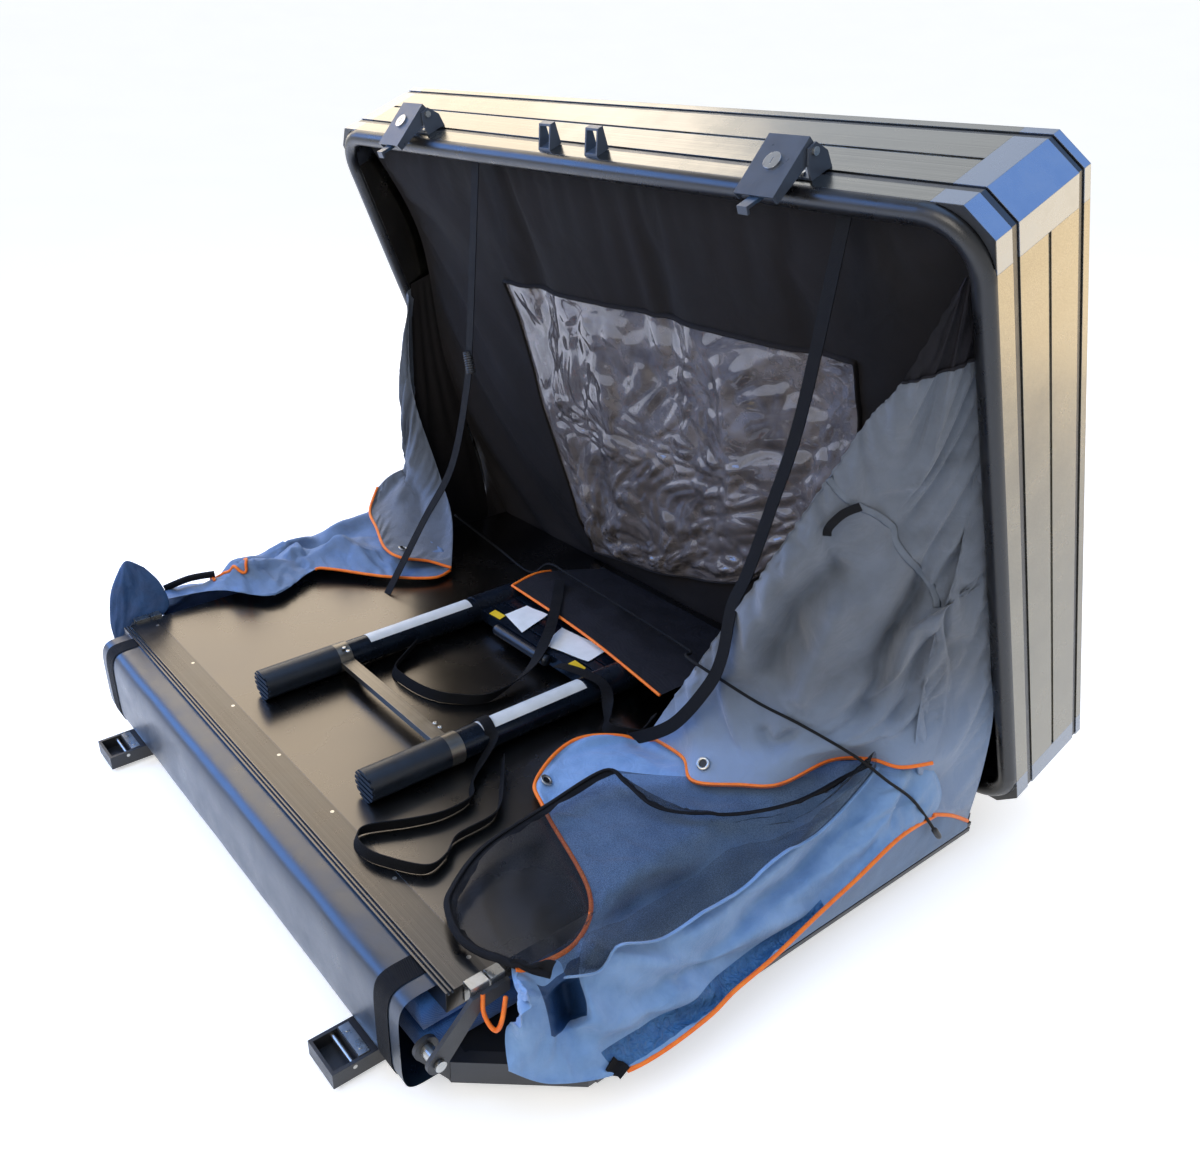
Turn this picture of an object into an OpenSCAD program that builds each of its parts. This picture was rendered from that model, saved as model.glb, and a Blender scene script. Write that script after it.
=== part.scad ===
// Fold-out roof top tent with an aluminium hard lid, lid half open, floor and ladder stowed.
// X runs along the lid hinge, Y from the fold-out front to the hinge at the rear, Z up, in millimetres.

/* [Lid] */
// Width of the lid along its hinge
lid_w = 1800; // [1760:4:1880]
// Depth of the lid from the hinge face to the latch face
lid_d = 1336; // [1330:2:1370]
// Height of the lip profile at the rim
lip_h = 36; // [30:1:42]
// Height of the shadow gap over the lip profile
low_gap = 16; // [10:1:22]
// Height of the main side profile
main_h = 141; // [134:1:160]
// Height of the shadow gap under the top profile
top_gap = 13; // [8:1:18]
// Height of the top profile
top_h = 15; // [12:1:20]
// Thickness of the side profiles
rail_t = 38; // [34:1:44]
// Wall of the hollow side profiles
rail_wall = 3; // [2:0.5:4]
// Depth of the shadow gaps
gap_depth = 7; // [4:0.5:10]
// Width of the groove along the main profile
groove_w = 7; // [4:0.5:10]
// Depth of that groove
groove_depth = 3.5; // [2:0.5:5]
// Leg of the corner cut at 45 degrees
corner_cut = 46; // [36:1:56]
// Length of a corner casting past the cut
corner_leg = 52; // [40:1:70]
// Thickness of the roof board
roof_t = 10; // [6:1:10]
// Depth of the roof face below the top profile
roof_drop = 2; // [1:0.5:4]
// Opening angle of the lid as shown
lid_open = 68; // [60:1:74]

/* [Lid seal] */
// Width of the bulb seal on the rim
seal_w = 38; // [30:1:38]
// Outer radius of the seal at the corners
seal_corner_r = 110; // [90:2:130]
// Thickness of the black plates in the rim corners
rim_plate_t = 2; // [1.5:0.5:3]

/* [Lid hinge] */
// Height of the hinge axis over the roof bars
hinge_z = 44; // [44:1:50]
// Distance of the hinge axis behind the base
hinge_back = 34; // [30:1:38]
// Distance of the closed lid's rear face behind the base
lid_back = 16; // [12:1:18]
// Height of the closed lid's rim over the roof bars
rim_z = 108; // [108:1:116]
// Radius of the hinge knuckles
knuckle_r = 10; // [9:0.5:12]
// Radius of the hinge pins
hinge_pin_r = 4; // [3:0.5:5]
// Thickness of the hinge leaves
leaf_t = 4; // [3:0.5:5]
// Width of one hinge
hinge_w = 110; // [90:2:140]
// Distance between hinges
hinge_pitch = 600; // [500:10:640]

/* [Latches] */
// Distance of each latch and keeper from the middle
latch_x = 540; // [500:5:580]
// Width of a lever
lever_w = 80; // [70:1:90]
// Sheet thickness of the lever
lever_t = 3; // [2:0.5:4]
// Length of the lever below its pivot
lever_l = 98; // [92:1:100]
// Depth of the lever from its face to the pivot
lever_depth = 20; // [18:1:24]
// Slant of the lever
lever_slant = 27; // [24:1:30]
// Distance of the lever pivot from the latch face
pivot_out = 40; // [38:1:44]
// Height of the lever pivot over the rim
pivot_up = 30; // [28:1:34]
// Thickness of the bracket plates
ear_t = 4; // [3:0.5:5]
// Height of the brackets
bracket_h = 48; // [44:1:52]
// Height of the brackets' lower edge over the rim
bracket_low = 14; // [12:1:16]
// Margin of the bracket ears round the pivot
ear_r = 12; // [10:0.5:13]
// Radius of the bracket's bolt heads
bracket_bolt_r = 5; // [4:0.5:6]
// Radius of the claw's cross pin
claw_pin_r = 4; // [3:0.5:4.5]
// Radius of the lever pivot pin
lever_pin_r = 4; // [3:0.5:4.5]
// Radius of the lock cylinder
lock_r = 12; // [10:0.5:14]
// Radius of the lock's collar
lock_head_r = 15; // [14.5:0.5:17]
// Distance of the lock below the pivot
lock_down = 38; // [34:1:44]
// Distance of each strap hoop from the middle
hoop_x = 70; // [60:1:90]
// Width of a hoop
hoop_w = 36; // [30:1:44]
// Reach of a hoop
hoop_reach = 44; // [38:1:50]
// Wall of a hoop
hoop_wall = 4; // [3:0.5:5]

/* [Base] */
// Width of the base
base_w = 1694; // [1660:2:1710]
// Depth of the base
base_d = 1200; // [1180:2:1206]
// Distance of the base's cut corners in from the folding panel's ends
front_in = 4.5; // [4.5:0.5:5]
// Length of the cut corners along the sides
base_cut = 170; // [150:2:190]
// Height of the base frame
base_h = 47; // [40:1:48]
// Width of the frame profiles
frame_t = 30; // [26:1:34]
// Height of the mounting channels
mount_h = 40; // [40:1:44]
// Width of the mounting channels
mount_w = 50; // [40:1:60]
// Wall of the mounting channels
mount_wall = 3; // [2:0.5:4]
// Length of the mounting channels
mount_l = 1500; // [1400:10:1600]
// Distance between the mounting channels
mount_pitch = 760; // [700:10:800]
// Distance between the bolt holes in a channel
bolt_pitch = 900; // [800:10:1000]
// Radius of the bolt holes
bolt_hole_r = 4.5; // [4:0.5:6]
// Depth of the side groove rails for the walls
side_rail_t = 10; // [8:1:12]
// Height of the side groove rails
side_rail_h = 24; // [20:1:28]

/* [Keepers] */
// Width of a keeper arm
keeper_w = 87; // [84:1:96]
// Height of a keeper arm
keeper_h = 32; // [30:1:34]
// Reach of a keeper arm in front of the base
keeper_reach = 147; // [144:1:152]
// Length of a keeper arm under the base
keeper_root = 120; // [100:5:140]
// Wall round the keeper pocket
keeper_wall = 7; // [6:0.5:8]
// Length of the keeper pocket
pocket_l = 46; // [46:1:50]
// Radius of the keeper pin
keeper_pin_r = 4; // [3:0.5:4.5]
// Distance of the keeper pin behind the arm's tip
pin_set = 42; // [40:1:43]
// Distance of the keeper pin below the arm's top
pin_drop = 9; // [8:0.5:10]
// Depth of the steel plate behind the pocket
plate_d = 20; // [16:1:24]
// Distance between the plate's rivets
rivet_pitch = 44; // [36:1:50]

/* [Folding floor] */
// Width of the folding panel
panel_w = 1426; // [1400:2:1426]
// Depth of the folding panel
panel_d = 1164; // [1140:2:1164]
// Thickness of the folding panel
panel_t = 40; // [36:1:40]
// Distance of the folding panel's edge in front of the base
panel_out = 4; // [2:1:8]
// Distance of the fold axis in front of the panel's edge
axis_out = 36; // [34:1:38]
// Distance of the fold hinge plates in from the panel's ends
lug_inset = 13; // [13:0.5:14]
// Radius of the fold hinge plates round the bolt
lug_r = 22; // [20:0.5:23]
// Radius of the fold arms round the bolt
arm_r = 20; // [18:0.5:21]
// Length of the fold arms along the panel
arm_l = 100; // [96:1:110]
// Height of the fold arms along the panel
arm_h = 22; // [18:1:24]
// Thickness of the lower mattress
lower_pad_t = 55; // [53:1:56]
// Thickness of the upper mattress
upper_pad_t = 56; // [52:1:57]
// Gap between the two mattresses
pad_gap = 6; // [5:0.5:7]
// Reach of the mattresses past the panel's edge
pad_over = 28; // [24:1:30]
// Distance of the mattresses' ends from the fold hinge plates
pad_in = 15; // [12:1:30]
// Depth by which a mattress is drawn in at its edges
pad_edge = 8; // [4:1:12]
// Depth of the grooved front rail
front_rail_w = 18; // [16:1:22]
// Width of the metal cover strip
strip_w = 62; // [50:1:70]
// Thickness of the cover strip
strip_t = 1.5; // [1:0.5:2]
// Radius of the strip's screw heads
screw_r = 4; // [3:0.5:5]
// Thickness of the fold hinge plates
lug_t = 8; // [6:1:8]
// Length of the spacer tubes in the fold hinge
spacer_l = 26; // [24:1:28]
// Radius of the fold pivot bolts
fold_bolt_r = 6; // [5:0.5:7]
// Thickness of the hinge cover
cover_t = 4; // [3:0.5:5]
// Reach of the hinge cover in front of the panel
cover_out = 74; // [72:1:76]

/* [Ladder] */
// Distance between the stiles
ladder_w = 445; // [420:1:470]
// Distance of the ladder's middle from the tent's middle
ladder_x = 12; // [0:1:20]
// Radius of the outer stile tubes
stile_r = 31; // [29:0.5:31.5]
// Step in radius from one tube to the next
stile_step = 3.5; // [3:0.1:4]
// Wall of the stile tubes
stile_wall = 1.6; // [1.4:0.1:1.8]
// Radius of the collars and feet
collar_r = 33.5; // [33:0.5:34]
// Length of one collar
collar_l = 33; // [30:1:34]
// Distance from one collar to the next when stowed
collar_pitch = 34; // [34:0.5:38]
// Place of the ladder's feet along the floor
foot_y = -470; // [-480:1:-460]
// Place of the first collar along the floor
stack_y = 92; // [80:1:100]
// Length of the foot sleeves
foot_l = 180; // [160:2:190]
// Width of the crossbar
bar_w = 32; // [26:1:40]
// Thickness of the crossbar
bar_t = 14; // [10:1:18]
// Height of a rung
rung_h = 28; // [22:1:34]

/* [Fabric] */
// Thickness of the tent fabric
fabric_t = 3; // [2:0.5:4]
// Width of the webbing
web_w = 25; // [20:1:30]
// Thickness of the webbing
web_t = 2; // [1.5:0.5:3]
// Diameter of the elastic cord
cord_d = 6; // [5:0.5:7]

/* [Hidden] */
$fn = 48;
// Sliding clearance round pins and in tubes
run_clear = 0.05;
// Space between pieces that move past each other
side_clear = 1;
// Rest clearance under the ladder
seat_clear = 0.5;
// Gap between a soft piece and what carries it
soft_gap = 0.3;
lid_h = lip_h + low_gap + main_h + top_gap + top_h;
main_z = lip_h + low_gap;
top_z = main_z + main_h + top_gap;
corner_l = corner_cut + corner_leg;
// Growth of a cut corner's leg with each millimetre of inset
cut_inset = sqrt(2) - 1;
front_y = -base_d / 2;
rear_y = base_d / 2;
hinge_y = rear_y + hinge_back;
lid_y = rear_y + lid_back;
base_top = mount_h + base_h;
fold_z = base_top + lower_pad_t + pad_gap / 2;
panel_z = fold_z + pad_gap / 2 + upper_pad_t;
panel_top = panel_z + panel_t;
panel_y = front_y - panel_out;
fold_y = panel_y - axis_out;
// Inner faces of the fold hinge plates and of the fold arms
lug_x = panel_w / 2 - lug_inset;
arm_x = lug_x + lug_t + spacer_l;
// Width of the base's front edge between the cut corners
base_front_w = panel_w - 2 * front_in;
pad_w = 2 * (lug_x - pad_in);
stile_z = panel_top + seat_clear + collar_r;
keeper_tip = front_y - keeper_reach;
keeper_pin_y = keeper_tip + pin_set;
keeper_pin_z = mount_h - pin_drop;
latch_face = -lid_d;
// Inner faces of the lid's latch rail and side rails
rim_u = lid_d - rail_t;
rim_x = lid_w / 2 - rail_t;
// Place of the claw's cross pin on the lever
claw_pin_y = 8 - lever_depth;
claw_pin_z = 12 - lever_l;
pad_front = panel_y - pad_over;
pad_rear = panel_y + panel_d;

// Route of the elastic cord, from the left wall over the ladder flap and the right wall to the hem
cord_route = [[-520, 250, 382], [-465, 350, 275], [-330, 356, 254], [-245, 352, 312], [-150, 346, 318],
  [60, 338, 316], [270, 325, 316], [400, 210, 402], [518, 75, 497], [596, 81, 486], [668, 107, 461],
  [716, 156, 426], [763, 203, 389], [802, 244, 353], [838, 283, 310], [862, 342, 252], [886, 402, 163]];

// Point on the open lid: x along the hinge, u from the hinge face, h from the rim
function lid_pt(x, u, h) =
  let (y = lid_y - hinge_y - u, z = rim_z - hinge_z + h)
  [x, hinge_y + y * cos(lid_open) + z * sin(lid_open), hinge_z - y * sin(lid_open) + z * cos(lid_open)];

// Smooth curve through points, t from 0 to 1
function curve_part(a, b, c, d, t) =
  0.5 * (2 * b + (c - a) * t + (2 * a - 5 * b + 4 * c - d) * t * t + (3 * b - a - 3 * c + d) * t * t * t);
function curve(p, t) =
  let (n = len(p) - 1, k = min(floor(t * n), n - 1))
  curve_part(p[max(k - 1, 0)], p[k], p[k + 1], p[min(k + 2, n)], t * n - k);
// Smooth surface through rows of points
function surface_pt(rows, u, v) = curve([for (row = rows) curve(row, u)], v);
function unit(v) = v / norm(v);

// Places its children on the open lid, drawn closed with the rim at the hinge face as origin
module on_lid() {
  translate([0, hinge_y, hinge_z])
    rotate([-lid_open, 0, 0])
      translate([0, lid_y - hinge_y, rim_z - hinge_z])
        children();
}

// Sweeps a drawing in Y and Z along X, centred on x
module along_x(x, l) {
  translate([x - l / 2, 0, 0])
    rotate([90, 0, 90])
      linear_extrude(l)
        children();
}

// Cylinder along X, centred on x
module rod_x(x, y, z, r, l) {
  translate([x - l / 2, y, z])
    rotate([0, 90, 0])
      cylinder(r = r, h = l);
}

// Closed solid between two grids of points, face[j][i] and back[j][i]
module slab(face, back) {
  m = len(face) - 1;
  n = len(face[0]) - 1;
  half = (m + 1) * (n + 1);
  pts = [for (row = face) each row, for (row = back) each row];
  function id(i, j, s) = s * half + j * (n + 1) + i;
  skin = [for (j = [0 : m - 1]) for (i = [0 : n - 1]) each [
    [id(i, j, 0), id(i + 1, j, 0), id(i + 1, j + 1, 0)], [id(i, j, 0), id(i + 1, j + 1, 0), id(i, j + 1, 0)],
    [id(i, j, 1), id(i + 1, j + 1, 1), id(i + 1, j, 1)],
    [id(i, j, 1), id(i, j + 1, 1), id(i + 1, j + 1, 1)]]];
  ends = [for (i = [0 : n - 1]) each [
    [id(i, 0, 0), id(i + 1, 0, 1), id(i + 1, 0, 0)], [id(i, 0, 0), id(i, 0, 1), id(i + 1, 0, 1)],
    [id(i, m, 0), id(i + 1, m, 0), id(i + 1, m, 1)], [id(i, m, 0), id(i + 1, m, 1), id(i, m, 1)]]];
  sides = [for (j = [0 : m - 1]) each [
    [id(0, j, 0), id(0, j + 1, 0), id(0, j + 1, 1)], [id(0, j, 0), id(0, j + 1, 1), id(0, j, 1)],
    [id(n, j, 0), id(n, j + 1, 1), id(n, j + 1, 0)], [id(n, j, 0), id(n, j, 1), id(n, j + 1, 1)]]];
  polyhedron(pts, concat(skin, ends, sides));
}

// Direction that a grid of points faces at column i of row j
function facing(face, i, j) =
  let (m = len(face) - 1, n = len(face[0]) - 1)
  unit(cross(face[j][min(i + 1, n)] - face[j][max(i - 1, 0)],
    face[min(j + 1, m)][i] - face[max(j - 1, 0)][i]));

// Sheet on a grid of points, t thick towards the side it faces, or away from it where t is below zero
module sheet(face, t) {
  m = len(face) - 1;
  n = len(face[0]) - 1;
  back = [for (j = [0 : m]) [for (i = [0 : n]) face[j][i] + t * facing(face, i, j)]];
  if (t > 0)
    slab(face, back);
  else
    slab(back, face);
}

// Cloth through rows of points, t thick, with folds running down it in direction dir
module cloth(rows, t, dir, folds, depth, n, m) {
  sheet([for (j = [0 : m]) [for (i = [0 : n])
    let (u = i / n, v = j / m)
    surface_pt(rows, u, v) + unit(dir) * depth * sin(360 * folds * u + 40 * v) * sin(180 * v)]], t);
}

// Flat webbing along a route, lying across direction side
module webbing(route, side, rings) {
  sheet([for (k = [-0.5, 0.5]) [for (i = [0 : rings]) curve(route, i / rings) + side * web_w * k]], web_t);
}

// Round tube of d along a route
module tube(route, d, rings, sides) {
  way = [for (i = [0 : rings]) curve(route, i / rings)];
  run = [for (i = [0 : rings]) unit(way[min(i + 1, rings)] - way[max(i - 1, 0)])];
  ring_pts = [for (i = [0 : rings]) let (a = unit(cross(run[i], [0, 0, 1])), b = cross(run[i], a))
    for (k = [0 : sides - 1]) way[i] + d / 2 * (a * cos(360 * k / sides) + b * sin(360 * k / sides))];
  wall = [for (i = [0 : rings - 1]) for (k = [0 : sides - 1])
    let (p = i * sides + k, q = i * sides + (k + 1) % sides)
    each [[p, q + sides, q], [p, p + sides, q + sides]]];
  first = [for (k = [1 : sides - 2]) [0, k, k + 1]];
  last = [for (k = [1 : sides - 2]) [rings * sides, rings * sides + k + 1, rings * sides + k]];
  polyhedron(ring_pts, concat(wall, first, last));
}

// Mattress from a flat face at z to a crowned face t away, edges drawn in
module pad(z, t) {
  n = 12;
  m = 10;
  dir = sign(t);
  function swell(s) = pow(sin(180 * s), 0.35);
  function at(i, j, h) = [(i / n - 0.5) * pad_w, pad_front + (pad_rear - pad_front) * j / m, h];
  flat = [for (j = [0 : m]) [for (i = [0 : n]) at(i, j, z)]];
  crowned = [for (j = [0 : m]) [for (i = [0 : n])
    at(i, j, z + t - dir * pad_edge * (1 - swell(i / n) * swell(j / m)))]];
  if (dir > 0)
    slab(flat, crowned);
  else
    slab(crowned, flat);
}

// Side profile of the lid, x inward from the outer face and y up from the rim
module side_profile() {
  groove_z = main_z + main_h / 2;
  difference() {
    polygon([[0, 0], [0, lip_h], [gap_depth, lip_h], [gap_depth, main_z], [0, main_z],
      [0, groove_z - groove_w / 2], [groove_depth, groove_z - groove_w / 2],
      [groove_depth, groove_z + groove_w / 2], [0, groove_z + groove_w / 2],
      [0, top_z - top_gap], [gap_depth, top_z - top_gap], [gap_depth, top_z], [0, top_z], [0, lid_h],
      [rail_t, lid_h], [rail_t, 0]]);
    translate([gap_depth + rail_wall, rail_wall])
      square([rail_t - gap_depth - 2 * rail_wall, lid_h - 2 * rail_wall]);
  }
}

module lid_rail_front() {
  color("dimgray")
    on_lid()
      along_x(0, lid_w - 2 * corner_l)
        translate([-lid_d, 0])
          side_profile();
}

module lid_rail_rear() {
  color("dimgray")
    on_lid()
      along_x(0, lid_w - 2 * corner_l)
        mirror([1, 0])
          side_profile();
}

// Side rail of the lid along Y, side -1 left or 1 right
module lid_side_rail(side) {
  on_lid()
    translate([side * lid_w / 2, -corner_l, 0])
      rotate([90, 0, 0])
        linear_extrude(lid_d - 2 * corner_l)
          mirror([side > 0 ? 1 : 0, 0])
            side_profile();
}

module lid_rail_left() {
  color("dimgray")
    lid_side_rail(-1);
}

module lid_rail_right() {
  color("dimgray")
    lid_side_rail(1);
}

// Plan of a corner between two insets from the outer face, both legs from the sharp corner
module corner_band(outer, inner) {
  function turn(s) = corner_cut + cut_inset * s;
  polygon([[corner_l, outer], [turn(outer), outer], [outer, turn(outer)], [outer, corner_l],
    [inner, corner_l], [inner, turn(inner)], [turn(inner), inner], [corner_l, inner]]);
}

// Places its children at the four sharp corners of the lid, legs along the sides
module at_lid_corners() {
  for (k = [0 : 3])
    translate([(k == 1 || k == 2 ? 0.5 : -0.5) * lid_w, k < 2 ? -lid_d : 0, 0])
      rotate([0, 0, 90 * k])
        children();
}

module corner_casting() {
  difference() {
    union() {
      linear_extrude(lip_h) corner_band(0, rail_t);
      translate([0, 0, lip_h]) linear_extrude(low_gap) corner_band(gap_depth, rail_t);
      translate([0, 0, main_z]) linear_extrude(main_h) corner_band(0, rail_t);
      translate([0, 0, top_z - top_gap]) linear_extrude(top_gap) corner_band(gap_depth, rail_t);
      translate([0, 0, top_z]) linear_extrude(top_h) corner_band(0, rail_t);
    }
    translate([0, 0, rail_wall])
      linear_extrude(lid_h - 2 * rail_wall)
        corner_band(gap_depth + rail_wall, rail_t - rail_wall);
  }
}

module lid_corners() {
  color("slategray")
    on_lid()
      at_lid_corners()
        corner_casting();
}

module lid_roof() {
  x = lid_w / 2 - rail_t;
  y = lid_d - rail_t;
  c = corner_cut + cut_inset * rail_t - rail_t;
  color("gray")
    on_lid()
      translate([0, 0, lid_h - roof_drop - roof_t])
        linear_extrude(roof_t)
          polygon([[-x, -rail_t - c], [-x + c, -rail_t], [x - c, -rail_t], [x, -rail_t - c],
            [x, -y + c], [x - c, -y], [-x + c, -y], [-x, -y + c]]);
}

// Half-round bulb of the seal, flat side up
module seal_bulb() {
  intersection() {
    circle(r = seal_w / 2);
    translate([-seal_w, -seal_w]) square([2 * seal_w, seal_w]);
  }
}

module lid_seal() {
  mid = rail_t / 2;
  turn_r = seal_corner_r - mid;
  x = lid_w / 2 - seal_corner_r;
  y = lid_d - 2 * seal_corner_r;
  color("black")
    on_lid() {
      for (side = [-1, 1]) {
        along_x(0, 2 * x) translate([-lid_d / 2 + side * (lid_d / 2 - mid), 0]) seal_bulb();
        translate([side * (lid_w / 2 - mid), -seal_corner_r, 0])
          rotate([90, 0, 0]) linear_extrude(y) seal_bulb();
      }
      for (k = [0 : 3])
        translate([(k == 1 || k == 2 ? 1 : -1) * x, k < 2 ? -lid_d + seal_corner_r : -seal_corner_r, 0])
          rotate([0, 0, 180 + 90 * k])
            rotate_extrude(angle = 90) translate([turn_r, 0]) seal_bulb();
    }
}

module lid_rim_plates() {
  seal_r = seal_corner_r + (seal_w - rail_t) / 2 + side_clear;
  reach = 0.9 * corner_l;
  color("black")
    on_lid()
      at_lid_corners()
        translate([0, 0, -rim_plate_t])
          linear_extrude(rim_plate_t)
            difference() {
              polygon([[corner_cut, 0], [0, corner_cut], [0, reach], [reach, 0]]);
              translate([seal_corner_r, seal_corner_r]) circle(r = seal_r, $fn = 96);
            }
}

// Drawing of a lid hinge leaf in the lid's own Y and Z
module lid_leaf_shape() {
  ax = hinge_y - lid_y;
  az = hinge_z - rim_z;
  difference() {
    union() {
      polygon([[0, lip_h - leaf_t], [leaf_t, lip_h - leaf_t], [leaf_t, 0], [ax + 0.8 * knuckle_r, az + 6],
        [ax, az], [ax - 0.8 * knuckle_r, az + 6], [0, -2 * leaf_t]]);
      translate([ax, az]) circle(r = knuckle_r);
    }
    translate([ax, az]) circle(r = hinge_pin_r + run_clear);
  }
}

module lid_hinge_leaves() {
  color("dimgray")
    on_lid()
      for (k = [-1 : 1])
        along_x(k * hinge_pitch, hinge_w / 3 - 2 * side_clear)
          lid_leaf_shape();
}

// Drawing of a base hinge leaf in Y and Z, as a plain plate or with its knuckle
module base_leaf_shape(knuckle) {
  plate_top = base_top - leaf_t;
  difference() {
    union() {
      translate([rear_y, mount_h + leaf_t]) square([leaf_t, base_h - 2 * leaf_t]);
      if (knuckle) {
        polygon([[rear_y, mount_h + leaf_t], [hinge_y, hinge_z - knuckle_r], [hinge_y, hinge_z + knuckle_r],
          [rear_y, plate_top]]);
        translate([hinge_y, hinge_z]) circle(r = knuckle_r);
      }
    }
    if (knuckle)
      translate([hinge_y, hinge_z]) circle(r = hinge_pin_r);
  }
}

module base_hinge_leaves() {
  color("dimgray")
    for (k = [-1 : 1]) {
      along_x(k * hinge_pitch, hinge_w / 3) base_leaf_shape(false);
      for (side = [-1, 1])
        along_x(k * hinge_pitch + side * hinge_w / 3, hinge_w / 3) base_leaf_shape(true);
    }
}

module lid_hinge_pins() {
  color("silver")
    for (k = [-1 : 1])
      rod_x(k * hinge_pitch, hinge_y, hinge_z, hinge_pin_r, hinge_w);
}

module lid_hoops() {
  low = lip_h / 4;
  high = lip_h + 4;
  color("black")
    on_lid()
      for (side = [-1, 1])
        difference() {
          along_x(side * hoop_x, hoop_w)
            polygon([[latch_face, low], [latch_face, high], [latch_face - hoop_reach, high],
              [latch_face - hoop_reach, high - 12]]);
          translate([side * hoop_x - hoop_w / 2 + hoop_wall, latch_face - hoop_reach + hoop_wall, 0])
            cube([hoop_w - 2 * hoop_wall, hoop_reach - 2 * hoop_wall, 2 * high]);
        }
}

// Drawing of a latch bracket's ear in the lid's own Y and Z
module ear_shape() {
  difference() {
    polygon([[latch_face, bracket_low], [latch_face, bracket_low + bracket_h],
      [latch_face - 0.7 * pivot_out, bracket_low + bracket_h - ear_t],
      [latch_face - pivot_out - ear_r, pivot_up + ear_r / 2],
      [latch_face - pivot_out - 0.7 * ear_r, pivot_up - ear_r],
      [latch_face - 0.65 * pivot_out, bracket_low - 2]]);
    translate([latch_face - pivot_out, pivot_up]) circle(r = lever_pin_r);
  }
}

module latch_brackets() {
  out = lever_w / 2 + side_clear + ear_t / 2;
  color("slategray")
    on_lid()
      for (side = [-1, 1]) {
        translate([side * latch_x - out - ear_t / 2, latch_face - ear_t, bracket_low])
          cube([2 * out + ear_t, ear_t, bracket_h]);
        for (ear = [-1, 1])
          along_x(side * latch_x + ear * out, ear_t) ear_shape();
      }
}

// Pivot pins with heads and the bracket's socket bolts
module latch_bolts() {
  out = lever_w / 2 + side_clear + ear_t;
  head = 4;
  edge = 2 * bracket_bolt_r;
  color("silver")
    on_lid()
      for (side = [-1, 1]) {
        rod_x(side * latch_x, latch_face - pivot_out, pivot_up, lever_pin_r, 2 * out);
        for (ear = [-1, 1])
          rod_x(side * latch_x + ear * (out + head / 2), latch_face - pivot_out, pivot_up,
            1.7 * lever_pin_r, head);
        for (ear = [-1, 1])
          for (z = [bracket_low + edge, bracket_low + bracket_h - edge])
            translate([side * latch_x + ear * lever_w / 4, latch_face - ear_t, z])
              rotate([90, 0, 0]) cylinder(r = bracket_bolt_r, h = head);
      }
}

// Places its children on a lever, drawn hanging straight down from its pivot
module on_lever(side) {
  on_lid()
    translate([side * latch_x, latch_face - pivot_out, pivot_up])
      rotate([lever_slant, 0, 0])
        children();
}

module latch_lever(side) {
  top = 10;
  on_lever(side)
    difference() {
      union() {
        translate([-lever_w / 2, -lever_depth, -lever_l]) cube([lever_w, lever_t, lever_l + top]);
        for (k = [-1, 1])
          along_x(k * (lever_w / 2 - lever_t / 2), lever_t)
            polygon([[-lever_depth, top], [8, top], [10, -8], [-4, -lever_l], [-lever_depth, -lever_l]]);
      }
      rod_x(0, 0, 0, lever_pin_r + run_clear, lever_w + 2);
      rod_x(0, claw_pin_y, claw_pin_z, claw_pin_r + run_clear, lever_w + 2);
      translate([0, -lever_depth - 1, -lock_down])
        rotate([-90, 0, 0]) cylinder(r = lock_r + run_clear, h = lever_t + 2);
    }
}

module latch_lever_left() {
  color("slategray")
    latch_lever(-1);
}

module latch_lever_right() {
  color("slategray")
    latch_lever(1);
}

// Claw on its cross pin inside the lever, drawn from the keeper pin it drops past
module latch_hook(side) {
  claw_t = 6;
  claw_in = keeper_pin_r + 6;
  claw_out = claw_in + 8;
  claw_top = 24;
  claw_low = keeper_pin_r + 7;
  on_lid()
    along_x(side * latch_x, lever_w / 4)
      translate([keeper_pin_y - lid_y, keeper_pin_z - rim_z])
        polygon([[-claw_out - 2 * claw_t, claw_top], [-claw_out, claw_top], [-claw_out, -claw_low],
          [-claw_in, -claw_low], [-claw_in, -claw_low - claw_t + 1],
          [-claw_out - claw_t, -claw_low - claw_t + 1], [-claw_out - claw_t, claw_top / 2]]);
  on_lever(side)
    rod_x(0, claw_pin_y, claw_pin_z, claw_pin_r, lever_w);
}

module latch_hook_left() {
  color("black")
    latch_hook(-1);
}

module latch_hook_right() {
  color("black")
    latch_hook(1);
}

module lock_cylinder(side) {
  head_t = 4;
  slot = 2;
  on_lever(side)
    translate([0, -lever_depth - head_t - run_clear, -lock_down])
      rotate([-90, 0, 0])
        difference() {
          union() {
            cylinder(r = lock_head_r, h = head_t);
            cylinder(r = lock_r, h = head_t + lever_t + 6);
          }
          translate([-slot / 2, -lock_r / 2, -1]) cube([slot, lock_r, slot + 1]);
        }
}

module lock_left() {
  color("silver")
    lock_cylinder(-1);
}

module lock_right() {
  color("silver")
    lock_cylinder(1);
}

// Right-hand outline of the base's front corner, from the front edge to the side
function corner_out() = [[base_front_w / 2, front_y], [base_w / 2, front_y + base_cut]];
function corner_in() = [[base_front_w / 2, front_y + 1.23 * frame_t],
  [base_w / 2 - frame_t, front_y + base_cut]];

module base_board() {
  a = corner_in();
  half = [[0, front_y + frame_t], [base_front_w / 2, front_y + frame_t], a[0], a[1],
    [base_w / 2 - frame_t, rear_y - frame_t], [0, rear_y - frame_t]];
  color("dimgray")
    translate([0, 0, mount_h])
      linear_extrude(base_h) {
        polygon(half);
        mirror([1, 0]) polygon(half);
      }
}

// Hollow frame profile along X or Y between two corners
module frame_box(a, b, along) {
  w = rail_wall;
  l = b - a;
  translate(a)
    difference() {
      cube(l);
      translate([along == 0 ? -1 : w, along == 1 ? -1 : w, w])
        cube([l[0] + (along == 0 ? 2 : -2 * w), l[1] + (along == 1 ? 2 : -2 * w), l[2] - 2 * w]);
    }
}

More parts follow.
